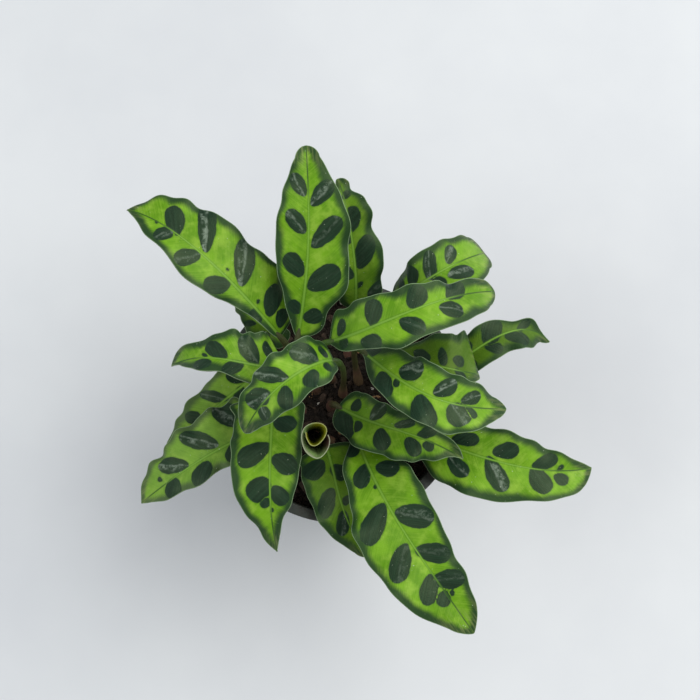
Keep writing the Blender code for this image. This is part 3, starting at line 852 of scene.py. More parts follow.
def smooth_path(points, share):
    """Places on a smooth curve through evenly numbered points, for shares from 0 to 1 of their row."""
    points = np.array(points, float)
    points = np.concatenate((points[:1], points, points[-1:]))
    place = np.clip(share, 0, 1) * (len(points) - 3)
    k = np.minimum(place.astype(int), len(points) - 4)
    x = (place - k)[..., None]
    a, b, c, d = (points[k + i] for i in range(4))
    return b + 0.5 * x * (c - a + x * (2 * a - 5 * b + 4 * c - d + x * (3 * b - a - 3 * c + d)))


def roll_lip(turn):
    """How much of the mouth's edge turns outwards at each share of the roll's path: only its front and left."""
    return smooth_step((turn - 0.15) / 0.1) * smooth_step((0.5 - turn) / 0.08)


def roll_sheet(share, turn, depth):
    """The rolled sheet over rows of height and columns round the roll, a depth inside its outer face."""
    along, right, face = roll_axes()
    foot, mouth = np.array(ROLL_FOOT, float), np.array(ROLL_MOUTH, float)
    path = smooth_path(ROLL_PATH, turn)
    tangent = unit(smooth_path(ROLL_PATH, turn + NUDGE) - smooth_path(ROLL_PATH, turn - NUDGE))
    inward = np.stack((tangent[..., 1], -tangent[..., 0]), axis=-1)
    grow = (share * share)[..., None]
    foot_path = path * np.array(ROLL_FOOT_SCALE)
    flare = ROLL_FLARE * roll_lip(turn) * smooth_step((0.97 - share) / 0.1) * share
    flat = blend(foot_path, path, grow) + inward * (depth + flare)[..., None]
    centre = foot + (mouth - foot) * share[..., None]
    return centre + right * flat[..., :1] - face * flat[..., 1:]


def make_rolled_leaf(materials):
    """The newest leaf: a thin sheet rolled up round its own axis, open at the top, on its stalk."""
    shell = Shell()
    share = np.broadcast_to(np.linspace(0.0, 1.0, ROLL_ROWS)[:, None], (ROLL_ROWS, ROLL_COLUMNS))
    turn = np.broadcast_to(np.linspace(0.0, 1.0, ROLL_COLUMNS)[None], share.shape)
    length = np.linalg.norm(np.subtract(ROLL_MOUTH, ROLL_FOOT))
    width = running_length(smooth_path(ROLL_PATH, np.linspace(0.0, 1.0, ROLL_COLUMNS)))
    place = np.stack((np.broadcast_to(width, turn.shape), share * length, share), axis=-1)
    margin = np.minimum((1 - share) * length, np.minimum(width, width[-1] - width))
    edge = np.stack((margin, margin, turn), axis=-1)
    outer = shell.add_points(roll_sheet(share, turn, 0.0), place=place, spot=FAR, edge=edge)
    inner = shell.add_points(roll_sheet(share, turn, ROLL_SHEET), place=place, spot=FAR, edge=edge)
    shell.add_faces(outer, 0, (0.01, 0.01, 0.44, 0.99))
    shell.add_faces(inner, 1, (0.46, 0.01, 0.89, 0.99), flip=True)
    close_rim(shell, outer, inner)
    add_roll_stalk(shell)
    stand_for(shell.build("leaf_rolled_new_sheet", materials), "leaf_rolled_new")


def add_roll_stalk(shell):
    """The rolled leaf's stalk, which swells into the roll's lower end and closes it."""
    along, right, _ = roll_axes()
    handles = stalk_handles(ROLL_ROOT, ROLL_FOOT, along)
    stalk = bezier(handles, np.linspace(0.0, 1.0, STALK_ROWS))
    rise = np.linspace(0.4, 5.0, 12)
    plug = np.array(ROLL_FOOT, float) + along * rise[:, None]
    grow = smooth_step((running_length(stalk) - running_length(stalk)[-1] + 7.0) / 7.0)
    radii = blend(stalk_radius(stalk[:, 2]), ROLL_FOOT_RADIUS, grow)
    plug_radii = ROLL_FOOT_RADIUS * np.sqrt(np.clip(1 - ((rise - 2.0) / 3.2) ** 2, 0.02, 1))
    plug_radii[rise < 2.0] = ROLL_FOOT_RADIUS
    centres = np.concatenate((stalk, plug))
    crosses = np.repeat(right[None], len(centres), axis=0)
    add_tube(shell, centres, crosses, np.concatenate((radii, plug_radii)), 2, (0.93, 0.01, 0.99, 0.99))


def wall_radius(z):
    return blend(BASE_RADIUS, NECK_RADIUS, z / POT_HEIGHT)


def arc(centre_r, centre_z, radius, start, end, steps=5):
    """Points of a profile on a round corner, from one angle to another in degrees."""
    angles = np.radians(np.linspace(start, end, steps))
    return [(centre_r + radius * math.cos(a), centre_z + radius * math.sin(a)) for a in angles]


def pot_profile():
    """The pot's outline, from the middle of its floor up the outside, over the rim and down the inside."""
    skirt_foot = POT_HEIGHT - SKIRT_DEPTH
    rim_foot = POT_HEIGHT - SKIRT_WALL
    step_z = POT_HEIGHT - STEP_DEPTH
    mouth = wall_radius(POT_HEIGHT) - WALL
    inside = wall_radius(FLOOR) - WALL
    skirt_tip = RIM_RADIUS - SKIRT_TAPER - SKIRT_WALL / 2
    profile = [(0.0, 0.5), (7.0, 0.5), (7.4, 0.35), (BASE_RADIUS - 8.0, 0.35), (BASE_RADIUS - 7.5, 0.0)]
    profile += arc(BASE_RADIUS - FOOT_ROUND, FOOT_ROUND, FOOT_ROUND, -90, 0)
    profile += [(wall_radius(z), z) for z in np.linspace(3.0, step_z - 0.6, 14)]
    profile += [(wall_radius(step_z) - STEP_OUT, step_z), (wall_radius(rim_foot) - STEP_OUT, rim_foot - 0.4)]
    profile += [(wall_radius(rim_foot) + 0.2, rim_foot), (RIM_RADIUS - SKIRT_WALL - 0.3, rim_foot)]
    profile += [(RIM_RADIUS - SKIRT_WALL, rim_foot - 0.3), (skirt_tip - SKIRT_WALL / 2, skirt_foot + 0.4)]
    profile += arc(skirt_tip, skirt_foot + 0.4, SKIRT_WALL / 2, -180, 0, 7)
    profile += arc(RIM_RADIUS - LIP_ROUND, POT_HEIGHT - LIP_ROUND, LIP_ROUND, 0, 90, 6)
    profile += arc(mouth + LIP_ROUND, POT_HEIGHT - LIP_ROUND, LIP_ROUND, 90, 180, 6)
    profile += [(wall_radius(z) - WALL, z) for z in np.linspace(POT_HEIGHT - 2.0, FLOOR + 3.0, 10)]
    profile += [(inside - 0.6, FLOOR + 0.4), (inside - 1.6, FLOOR), (0.0, FLOOR)]
    return profile


def turned(name, profile, sides, materials):
    """A closed body turned about the Z axis from an outline that starts and ends on the axis."""
    shell = Shell()
    r, z = np.array(profile).T
    turn = np.linspace(0.0, 2 * math.pi, sides, endpoint=False)
    rings = np.stack(np.broadcast_arrays(r[:, None] * np.cos(turn), r[:, None] * np.sin(turn), z[:, None]), axis=-1)
    numbers = shell.add_points(rings)
    shell.add_faces(np.concatenate((numbers, numbers[:, :1]), axis=1), 0, (0.0, 0.0, 1.0, 1.0))
    body = shell.build(name, materials)
    weld(body)
    return body


def weld(body):
    """Closes the body's poles and keeps its edges sharp where it bends much."""
    close_poles(body.data)
    body.data.uv_layers.remove(body.data.uv_layers["OFBake"])
    body.data.shade_smooth()
    body.data.set_sharp_from_angle(angle=math.radians(50))


def evaluated(thing, name, materials):
    """The object with its modifiers done, as a plain mesh in place of the object."""
    bpy.context.view_layer.update()
    graph = bpy.context.evaluated_depsgraph_get()
    mesh = bpy.data.meshes.new_from_object(thing.evaluated_get(graph))
    old = thing.data
    bpy.data.objects.remove(thing)
    if old.users == 0:
        bpy.data.meshes.remove(old)
    mesh.materials.clear()
    return finished(name, mesh, materials)


def make_pot(material):
    pot = turned("pot_turned", pot_profile(), POT_SIDES, [material])
    drills = []
    for k in range(DRAIN_HOLES):
        angle = 2 * math.pi * k / DRAIN_HOLES
        place = Vector((DRAIN_RING * math.cos(angle), DRAIN_RING * math.sin(angle), 0)) * MM
        profile = [(0.0, -3.0), (DRAIN_RADIUS, -3.0), (DRAIN_RADIUS, 3.0), (0.0, 3.0)]
        drill = turned("drill", profile, 28, [material])
        drill.location = place
        drills.append(drill)
        step = pot.modifiers.new("drain", "BOOLEAN")
        step.operation = "DIFFERENCE"
        step.solver = "EXACT"
        step.object = drill
    pot = evaluated(pot, "pot_moulded", [material])
    for drill in drills:
        bpy.data.objects.remove(drill)
    stand_for(pot, "pot")


def soil_height(x, y):
    """The soil's surface: a low mound, uneven and crumbly."""
    reach = math.hypot(x, y) / soil_radius(SOIL_TOP)
    slow = 1.1 * noise.noise(Vector((x * 0.07, y * 0.07, 3.0)))
    rough = 0.9 * noise.fractal(Vector((x * 0.35, y * 0.35, 9.0)), 0.8, 2.1, 4)
    return SOIL_TOP - SOIL_MOUND * reach * reach + slow + rough


def soil_radius(z):
    return wall_radius(z) - WALL - 0.1


def make_soil(material):
    """The soil's body: a rough top that meets the pot's wall, and plain sides and bottom inside the pot."""
    shell = Shell()
    reach = soil_radius(SOIL_TOP - SOIL_MOUND)
    radii = np.linspace(0.0, reach, SOIL_RINGS)
    turn = np.linspace(0.0, 2 * math.pi, SOIL_SIDES, endpoint=False)
    x = radii[:, None] * np.cos(turn)
    y = radii[:, None] * np.sin(turn)
    z = np.array([[soil_height(a, b) for a, b in zip(*row)] for row in zip(x, y)])
    rows = [np.stack((x, y, z), axis=-1)]
    foot = soil_radius(FLOOR) - 1.0
    for radius, level in ((foot, FLOOR + SOIL_GAP), (0.0, FLOOR + SOIL_GAP)):
        flat = np.stack((radius * np.cos(turn), radius * np.sin(turn), np.full(SOIL_SIDES, level)), axis=-1)
        rows.append(flat[None])
    numbers = shell.add_points(np.concatenate(rows))
    shell.add_faces(np.concatenate((numbers, numbers[:, :1]), axis=1), 0, (0.0, 0.0, 1.0, 1.0), flip=True)
    soil = shell.build("soil_body", [material])
    weld(soil)
    stand_for(soil, "soil")
    return soil


class Nodes:
    """Adds nodes to one tree. Each input is given as a value or as another node's output."""

    def __init__(self, tree):
        self.tree = tree

    def feed(self, socket, value):
        if isinstance(value, bpy.types.NodeSocket):
            self.tree.links.new(value, socket)
        else:
            socket.default_value = value

    def add(self, kind, inputs=None, **settings):
        node = self.tree.nodes.new(kind)
        for name, value in settings.items():
            setattr(node, name, value)
        for socket, value in (inputs or {}).items():
            self.feed(node.inputs[socket], value)
        return node

    def sum(self, operation, *values):
        """One step of arithmetic."""
        node = self.add("ShaderNodeMath", operation=operation)
        for socket, value in zip(node.inputs, values):
            self.feed(socket, value)
        return node.outputs[0]

    def rise(self, value, start, end, low=0.0, high=1.0):
        """A number that goes smoothly from low to high while the value goes from start to end."""
        inputs = {"Value": value, "From Min": start, "From Max": end, "To Min": low, "To Max": high}
        return self.add("ShaderNodeMapRange", inputs, interpolation_type="SMOOTHSTEP").outputs[0]

    def mix(self, share, first, second):
        """A colour between two others."""
        return self.add("ShaderNodeMix", {0: share, 6: first, 7: second}, data_type="RGBA").outputs[2]

    def vector(self, x=0.0, y=0.0, z=0.0):
        return self.add("ShaderNodeCombineXYZ", {"X": x, "Y": y, "Z": z}).outputs[0]

    def apart(self, vector):
        return self.add("ShaderNodeSeparateXYZ", {"Vector": vector}).outputs

    def noise(self, vector, scale, detail=3.0, roughness=0.55):
        inputs = {"Vector": vector, "Scale": scale, "Detail": detail, "Roughness": roughness}
        return self.add("ShaderNodeTexNoise", inputs).outputs[0]

    def here(self):
        """The point's place in the piece's own frame, in metres."""
        return self.add("ShaderNodeTexCoord").outputs["Object"]

    def field(self, name):
        """Three numbers that the mesh carries at each point."""
        return self.apart(self.add("ShaderNodeAttribute", attribute_name=name).outputs["Vector"])

    def group(self, group, inputs):
        return self.add("ShaderNodeGroup", inputs, node_tree=group).outputs


def new_group(name, inputs, outputs):
    """A shader group with named inputs, each with its usual value, and named outputs."""
    group = bpy.data.node_groups.new(name, "ShaderNodeTree")
    kinds = {float: "NodeSocketFloat", tuple: "NodeSocketColor"}
    for label, value in inputs.items():
        socket = group.interface.new_socket(label, in_out="INPUT", socket_type=kinds[type(value)])
        socket.default_value = value
    for label, kind in outputs.items():
        group.interface.new_socket(label, in_out="OUTPUT", socket_type=kinds[kind])
    nodes = Nodes(group)
    return nodes, nodes.add("NodeGroupInput").outputs, nodes.add("NodeGroupOutput").inputs


def new_material(name, **constants):
    """A material with its Principled shader, whose constant sockets are set by name."""
    material = bpy.data.materials.new(name)
    material.use_nodes = True
    shader = material.node_tree.nodes["Principled BSDF"]
    for label, value in constants.items():
        shader.inputs[label.replace("_", " ")].default_value = value
    return material, Nodes(material.node_tree), shader.inputs


def make_vein_group():
    """Fine side veins that leave the rib at a slant and curve to the tip, as on every calathea blade."""
    nodes, given, out = new_group(
        "side veins",
        {"Across": 0.0, "Along": 0.0, "Per millimetre": 1.0},
        {"Veins": float, "Streaks": float},
    )
    side = nodes.sum("ABSOLUTE", given["Across"])
    bend = nodes.sum("MULTIPLY", nodes.sum("MULTIPLY", side, side), 0.014)
    start = nodes.sum("SUBTRACT", nodes.sum("SUBTRACT", given["Along"], nodes.sum("MULTIPLY", side, 0.72)), bend)
    line = nodes.sum("MULTIPLY", start, given["Per millimetre"])
    half = nodes.sum("SIGN", given["Across"])
    place = nodes.vector(line, nodes.sum("MULTIPLY", side, 0.06), nodes.sum("MULTIPLY", half, 7.0))
    nodes.feed(out["Streaks"], nodes.noise(place, 1.6, 3.0, 0.6))
    wander = nodes.sum("MULTIPLY", nodes.noise(place, 0.5, 1.0), 1.5)
    wave = nodes.sum("SINE", nodes.sum("MULTIPLY", nodes.sum("ADD", line, wander), 2.6))
    nodes.feed(out["Veins"], nodes.rise(wave, 0.55, 1.0))
    return nodes.tree


def make_cell_group():
    """The faint cells and dimples of a leaf's or a stalk's skin."""
    nodes, given, out = new_group("leaf skin", {"Size": 0.5}, {"Height": float, "Mottle": float})
    here = nodes.here()
    scale = nodes.sum("DIVIDE", 1000.0, given["Size"])
    nodes.feed(out["Height"], nodes.noise(here, scale, 2.0, 0.5))
    broad = nodes.noise(here, 95.0, 3.0, 0.6)
    nodes.feed(out["Mottle"], nodes.rise(broad, 0.34, 0.66))
    return nodes.tree


def make_dust_group():
    """Grains of soil and the smear round them that splashing leaves on a thing that stands in soil."""
    nodes, given, out = new_group("soil dust", {"Amount": 0.3}, {"Dust": float})
    here = nodes.here()
    fine = nodes.noise(here, 1500.0, 2.0, 0.6)
    patches = nodes.noise(here, 70.0, 3.0, 0.6)
    level = nodes.sum("MULTIPLY", nodes.rise(patches, 0.42, 0.7), given["Amount"])
    nodes.feed(out["Dust"], nodes.sum("MULTIPLY", level, nodes.rise(fine, 0.45, 0.6, 0.25, 1.0)))
    return nodes.tree


LIME = (0.150, 0.335, 0.010, 1)
LIME_PALE = (0.27, 0.45, 0.045, 1)
LIME_DEEP = (0.085, 0.225, 0.004, 1)
# Lime of a leaf in shade: painted shade, used in part for leaves low down or under others.
LIME_SHADED = (0.048, 0.105, 0.006, 1)
MARGIN_GREEN = (0.017, 0.050, 0.015, 1)
# Painted highlight: the thin pale line where a leaf's edge catches the light.
EDGE_HIGHLIGHT = (0.20, 0.29, 0.16, 1)
SPOT_GREEN = (0.012, 0.036, 0.020, 1)
SPOT_DEEP = (0.006, 0.020, 0.012, 1)
# Silvery grey of the spots' streaks: a painted highlight, with some real wear.
SPOT_SHEEN_AND_WEAR = (0.19, 0.24, 0.19, 1)
RIB_PALE = (0.17, 0.34, 0.04, 1)
# Painted shade in the groove beside the rib.
RIB_GROOVE_SHADE = (0.05, 0.15, 0.008, 1)
TIP_DRY = (0.30, 0.34, 0.12, 1)
FLECK = (0.42, 0.48, 0.36, 1)
# A pale dull olive wash: partly a dusty bloom, partly painted glare.
DULL_OLIVE_AND_GLARE = (0.21, 0.30, 0.10, 1)


def make_blade_top(veins, skin):
    """The upper face: lime with dark oval spots, a dark margin, a thin pale rib and fine slanted veins."""
    material, nodes, shader = new_material(
        "calathea leaf face", Specular_IOR_Level=0.3, Specular_Tint=(0.8, 1.0, 0.5, 1)
    )
    across, along, share = nodes.field("place")
    margin, silver, tone = nodes.field("edge")
    here = nodes.here()
    vein = nodes.group(veins, {"Across": across, "Along": along, "Per millimetre": 1.3})
    cells = nodes.group(skin, {"Size": 0.5})

    lime = nodes.mix(cells["Mottle"], LIME_DEEP, LIME)
    glow = nodes.rise(nodes.noise(here, 170.0, 3.0, 0.6), 0.45, 0.72, 0.0, 0.6)
    lime = nodes.mix(glow, lime, LIME_PALE)
    lime = nodes.mix(nodes.rise(vein["Streaks"], 0.4, 0.75, 0.0, 0.3), lime, LIME_PALE)
    # Painted shade, in part: leaves that lie low or under others are darkened towards LIME_SHADED.
    lime = nodes.mix(tone, lime, LIME_SHADED)
    frayed = nodes.sum("MULTIPLY", nodes.sum("SUBTRACT", vein["Streaks"], 0.5), 1.2)
    wander = nodes.sum("MULTIPLY", nodes.sum("SUBTRACT", nodes.noise(here, 75.0, 2.0), 0.5), 6.0)
    margin_here = nodes.sum("ADD", nodes.sum("ADD", margin, frayed), wander)
    colour = nodes.mix(nodes.rise(margin_here, 4.2, 1.2), lime, MARGIN_GREEN)
    # Leaves with tone below 0 are washed pale olive: partly a dusty bloom, partly painted glare.
    colour = nodes.mix(nodes.rise(tone, 0.0, -1.0), colour, DULL_OLIVE_AND_GLARE)

    colour, inside = add_spots(nodes, colour, here, frayed, vein["Streaks"], silver)
    colour = add_rib(nodes, colour, across, share)
    grain = nodes.vector(across, nodes.sum("MULTIPLY", along, 0.12))
    streaked = nodes.rise(nodes.noise(grain, 0.9, 2.0), 0.42, 0.66)
    dry = nodes.sum("MULTIPLY", nodes.rise(share, 0.84, 0.98, 0.0, 0.32), streaked)
    colour = nodes.mix(dry, colour, TIP_DRY)
    fleck = nodes.rise(nodes.noise(here, 1100.0, 1.0, 0.4), 0.77, 0.81, 0.0, 0.6)
    colour = nodes.mix(fleck, colour, FLECK)
    # Painted highlight along the very edge of the blade, where it catches the light.
    colour = nodes.mix(nodes.rise(margin, 0.32, 0.12, 0.0, 0.85), colour, EDGE_HIGHLIGHT)
    nodes.feed(shader["Base Color"], colour)

    rough = nodes.rise(cells["Height"], 0.3, 0.7, 0.30, 0.44)
    rough = nodes.sum("ADD", rough, nodes.rise(nodes.noise(here, 60.0, 3.0), 0.35, 0.65, 0.0, 0.12))
    rough = nodes.sum("ADD", rough, nodes.sum("MULTIPLY", inside, -0.03))
    nodes.feed(shader["Roughness"], rough)
    relief = nodes.sum("MULTIPLY", vein["Streaks"], 0.6)
    relief = nodes.sum("ADD", relief, nodes.sum("MULTIPLY", cells["Height"], 0.6))
    bump = nodes.add("ShaderNodeBump", {"Height": relief, "Strength": 0.45, "Distance": 0.0003})
    nodes.feed(shader["Normal"], bump.outputs["Normal"])
    return material


def add_spots(nodes, colour, here, frayed, streaks, silver):
    """Paints the dark spots over the colour, some with a silvery line and patches along their middle: a painted
    highlight where light catches the spot's crease, with some real wear.
    """
    _, spot_y, spot_edge = nodes.field("spot")
    uneven = nodes.sum("MULTIPLY", nodes.sum("SUBTRACT", nodes.noise(here, 260.0, 4.0, 0.5), 0.5), 1.2)
    spot_here = nodes.sum("ADD", nodes.sum("ADD", spot_edge, uneven), nodes.sum("MULTIPLY", frayed, 0.2))
    colour = nodes.mix(nodes.rise(spot_here, 0.7, -0.1, 0.0, 0.35), colour, MARGIN_GREEN)
    dark = nodes.mix(nodes.rise(streaks, 0.35, 0.7), SPOT_DEEP, SPOT_GREEN)
    drift = nodes.sum("MULTIPLY", nodes.sum("SUBTRACT", nodes.noise(here, 150.0, 2.0), 0.5), 0.9)
    bow = nodes.sum("ADD", spot_y, drift)
    line = nodes.rise(nodes.sum("ABSOLUTE", bow), 0.2, 0.02, 0.0, 0.8)
    beside = nodes.rise(nodes.sum("ABSOLUTE", nodes.sum("SUBTRACT", bow, 0.22)), 0.5, 0.1)
    patch = nodes.sum("MULTIPLY", beside, nodes.rise(nodes.noise(here, 260.0, 4.0, 0.75), 0.44, 0.6))
    broken = nodes.rise(nodes.noise(here, 420.0, 3.0, 0.7), 0.36, 0.6, 0.1, 1.0)
    # Painted highlight, with some wear: a silvery line and patches along the spot's middle, where light catches its
    # crease.
    sheen_and_wear = nodes.sum("MULTIPLY", nodes.sum("MAXIMUM", line, patch), nodes.sum("MULTIPLY", broken, silver))
    dark = nodes.mix(sheen_and_wear, dark, SPOT_SHEEN_AND_WEAR)
    inside = nodes.rise(spot_here, 0.18, -0.18)
    return nodes.mix(inside, colour, dark), inside


def add_rib(nodes, colour, across, share):
    """Paints the rib: pale and broad at the base, thinner outwards, and dark near the tip, with painted shade in the
    groove on either side.
    """
    off_rib = nodes.sum("ABSOLUTE", across)
    width = nodes.rise(share, 0.0, 0.95, 0.55, 0.22)
    distance = nodes.sum("DIVIDE", off_rib, width)
    # Painted shade: a dark line either side of the rib, where its groove lies in shadow.
    colour = nodes.mix(nodes.rise(distance, 2.4, 0.9, 0.0, 0.5), colour, RIB_GROOVE_SHADE)
    tone = nodes.mix(nodes.rise(share, 0.66, 0.86), RIB_PALE, MARGIN_GREEN)
    return nodes.mix(nodes.rise(distance, 1.1, 0.5, 0.0, 0.85), colour, tone)


MAROON = (0.115, 0.022, 0.038, 1)
MAROON_DEEP = (0.05, 0.010, 0.022, 1)
MAROON_VEIN = (0.20, 0.075, 0.08, 1)
UNDER_GREEN = (0.09, 0.12, 0.03, 1)


def make_blade_under(veins, skin):
    """The under face: dull maroon, with paler side veins and a greener rim."""
    material, nodes, shader = new_material(
        "calathea leaf underside", Specular_IOR_Level=0.35, Sheen_Weight=0.15, Sheen_Roughness=0.5
    )
    across, along, _ = nodes.field("place")
    margin, _, _ = nodes.field("edge")
    _, _, spot_edge = nodes.field("spot")
    vein = nodes.group(veins, {"Across": across, "Along": along, "Per millimetre": 1.0})
    cells = nodes.group(skin, {"Size": 0.6})
    colour = nodes.mix(cells["Mottle"], MAROON_DEEP, MAROON)
    colour = nodes.mix(nodes.rise(spot_edge, 0.8, -0.6, 0.0, 0.5), colour, MAROON_DEEP)
    colour = nodes.mix(nodes.sum("MULTIPLY", vein["Veins"], 0.5), colour, MAROON_VEIN)
    colour = nodes.mix(nodes.rise(margin, 0.9, 0.25, 0.0, 0.8), colour, UNDER_GREEN)
    nodes.feed(shader["Base Color"], colour)
    nodes.feed(shader["Roughness"], nodes.rise(cells["Height"], 0.3, 0.7, 0.5, 0.66))
    relief = nodes.sum("ADD", nodes.sum("MULTIPLY", vein["Veins"], 0.8), nodes.sum("MULTIPLY", cells["Height"], 0.4))
    bump = nodes.add("ShaderNodeBump", {"Height": relief, "Strength": 0.5, "Distance": 0.0003})
    nodes.feed(shader["Normal"], bump.outputs["Normal"])
    return material


# The stalks' greens and maroon are dark: partly their own colour, partly painted shade of the crown they stand in.
STALK_GREEN = (0.06, 0.14, 0.02, 1)
STALK_OLIVE = (0.05, 0.075, 0.02, 1)
STALK_MAROON = (0.06, 0.025, 0.02, 1)
SHEATH_TAN = (0.16, 0.105, 0.05, 1)
SHEATH_PINK = (0.14, 0.065, 0.045, 1)


def make_stalk(skin, dust):
    """The stalks: green flushed with maroon, with fine ribs, and dry tan sheaths at their feet."""
    material, nodes, shader = new_material("calathea stalk", Specular_IOR_Level=0.4)
    around, along, height = nodes.field("place")
    here = nodes.here()
    cells = nodes.group(skin, {"Size": 0.5})
    colour = nodes.mix(cells["Mottle"], STALK_GREEN, STALK_OLIVE)
    colour = nodes.mix(nodes.rise(height, 128.0, 104.0, 0.0, 0.6), colour, STALK_MAROON)
    ribs = nodes.noise(nodes.vector(around, nodes.sum("MULTIPLY", along, 0.05)), 3.0, 3.0, 0.6)
    colour = nodes.mix(nodes.rise(ribs, 0.45, 0.65, 0.0, 0.4), colour, UNDER_GREEN)
    dry = nodes.mix(nodes.rise(nodes.noise(here, 55.0, 2.0), 0.4, 0.6), SHEATH_TAN, SHEATH_PINK)
    ragged = nodes.sum("ADD", height, nodes.sum("MULTIPLY", ribs, 9.0))
    foot = nodes.rise(ragged, 101.0, 92.0)
    colour = nodes.mix(foot, colour, dry)
    dirt = nodes.group(dust, {"Amount": 0.9})["Dust"]
    low = nodes.rise(height, 92.0, 82.0)
    colour = nodes.mix(nodes.sum("MULTIPLY", dirt, low), colour, PEAT)
    nodes.feed(shader["Base Color"], colour)
    nodes.feed(shader["Roughness"], nodes.rise(foot, 0.0, 1.0, 0.42, 0.75))
    relief = nodes.sum("ADD", nodes.sum("MULTIPLY", ribs, 1.0), nodes.sum("MULTIPLY", cells["Height"], 0.3))
    bump = nodes.add("ShaderNodeBump", {"Height": relief, "Strength": 0.5, "Distance": 0.0004})
    nodes.feed(shader["Normal"], bump.outputs["Normal"])
    return material


ROLL_BROWN = (0.12, 0.065, 0.05, 1)
ROLL_PINK = (0.20, 0.115, 0.09, 1)
# The inside's olive, yellow and grey-green: partly the young leaf's own colour, partly painted light shining through
# the thin sheet and falling on its open front.
ROLL_OLIVE = (0.20, 0.22, 0.010, 1)
ROLL_YELLOW = (0.42, 0.42, 0.012, 1)
ROLL_GREY = (0.20, 0.32, 0.10, 1)
ROLL_LIP = (0.30, 0.33, 0.22, 1)


def make_roll_face(name, first, second, outer, veins, skin):
    """One face of the rolled sheet: two tones along its fine veins, another on its outer turn, and a pale lip."""
    material, nodes, shader = new_material(name, Specular_IOR_Level=0.3)
    across, along, _ = nodes.field("place")
    rim, _, turn = nodes.field("edge")
    vein = nodes.group(veins, {"Across": across, "Along": along, "Per millimetre": 1.4})
    cells = nodes.group(skin, {"Size": 0.5})
    colour = nodes.mix(nodes.rise(vein["Streaks"], 0.35, 0.7), first, second)
    colour = nodes.mix(nodes.sum("MULTIPLY", cells["Mottle"], 0.35), colour, first)
    colour = nodes.mix(nodes.rise(turn, 0.56, 0.48), colour, outer)
    colour = nodes.mix(nodes.rise(turn, 0.17, 0.07), colour, ROLL_BROWN)
    band = nodes.sum("MULTIPLY", nodes.rise(turn, 0.17, 0.27), nodes.rise(turn, 0.48, 0.4))
    past_band = nodes.sum("SUBTRACT", rim, nodes.sum("MULTIPLY", band, 2.2))
    lip = nodes.sum("MULTIPLY", nodes.rise(past_band, 0.3, 0.05), nodes.rise(turn, 0.55, 0.45, 0.4, 0.8))
    colour = nodes.mix(lip, colour, ROLL_LIP)
    nodes.feed(shader["Base Color"], colour)
    nodes.feed(shader["Roughness"], nodes.rise(cells["Height"], 0.3, 0.7, 0.45, 0.6))
    relief = nodes.sum("ADD", vein["Streaks"], nodes.sum("MULTIPLY", vein["Veins"], 0.5))
    bump = nodes.add("ShaderNodeBump", {"Height": relief, "Strength": 0.5, "Distance": 0.0003})
    nodes.feed(shader["Normal"], bump.outputs["Normal"])
    return material


PEAT = (0.009, 0.007, 0.005, 1)
PEAT_DRY = (0.036, 0.026, 0.018, 1)
PLASTIC = (0.022, 0.032, 0.024, 1)
PLASTIC_WORN = (0.07, 0.085, 0.07, 1)


def make_plastic(dust):
    """The pot: thin dark grey-green plastic with a fine grain, faint scuffs, and soil dust on its rim."""
    material, nodes, shader = new_material("nursery pot plastic", Specular_IOR_Level=0.5)
    here = nodes.here()
    height = nodes.apart(here)[2]
    grain = nodes.noise(here, 2600.0, 2.0, 0.6)
    cloud = nodes.noise(here, 45.0, 3.0, 0.6)
    colour = nodes.mix(nodes.rise(cloud, 0.35, 0.7, 0.0, 0.35), PLASTIC, PLASTIC_WORN)
    stretched = nodes.add("ShaderNodeMapping", {"Vector": here, "Scale": (260.0, 260.0, 40.0)}).outputs[0]
    scuff = nodes.rise(nodes.noise(stretched, 1.0, 4.0, 0.7), 0.6, 0.74)
    colour = nodes.mix(nodes.sum("MULTIPLY", scuff, 0.35), colour, PLASTIC_WORN)
    dirt = nodes.group(dust, {"Amount": 0.8})["Dust"]
    high = nodes.rise(height, 0.03, 0.088, 0.3, 1.0)
    smear = nodes.sum("MULTIPLY", dirt, high)
    colour = nodes.mix(smear, colour, PEAT_DRY)
    nodes.feed(shader["Base Color"], colour)
    rough = nodes.sum("ADD", nodes.rise(cloud, 0.3, 0.7, 0.36, 0.5), nodes.sum("MULTIPLY", smear, 0.4))
    nodes.feed(shader["Roughness"], rough)
    bump = nodes.add("ShaderNodeBump", {"Height": nodes.sum("ADD", grain, smear), "Strength": 0.3, "Distance": 0.0002})
    nodes.feed(shader["Normal"], bump.outputs["Normal"])
    return material


def make_earth(name, dark, light, size, rough=0.92):
    """A rough dry stuff in two tones, for the soil, its crumbs, bark, grit and fibres. The size is in millimetres."""
    material, nodes, shader = new_material(name, Specular_IOR_Level=0.25)
    here = nodes.here()
    broad = nodes.noise(here, 1000.0 / size, 4.0, 0.65)
    fine = nodes.noise(here, 4000.0 / size, 3.0, 0.6)
    share = nodes.sum("ADD", nodes.rise(broad, 0.3, 0.7, 0.0, 0.7), nodes.rise(fine, 0.4, 0.7, 0.0, 0.3))
    nodes.feed(shader["Base Color"], nodes.mix(share, dark, light))
    nodes.feed(shader["Roughness"], nodes.rise(broad, 0.2, 0.8, rough - 0.12, rough))
    relief = nodes.sum("ADD", broad, nodes.sum("MULTIPLY", fine, 0.5))
    bump = nodes.add("ShaderNodeBump", {"Height": relief, "Strength": 0.6, "Distance": 0.0005})
    nodes.feed(shader["Normal"], bump.outputs["Normal"])
    return material


FLOOR_GREY = (0.62, 0.64, 0.67, 1)
FLOOR_PALE = (0.69, 0.71, 0.73, 1)


def make_floor_finish():
    material, nodes, shader = new_material("pale floor", Specular_IOR_Level=0.2)
    here = nodes.here()
    cloud = nodes.rise(nodes.noise(here, 4.0, 5.0, 0.6), 0.3, 0.7)
    nodes.feed(shader["Base Color"], nodes.mix(cloud, FLOOR_GREY, FLOOR_PALE))
    nodes.feed(shader["Roughness"], nodes.rise(cloud, 0.0, 1.0, 0.8, 0.9))
    return material


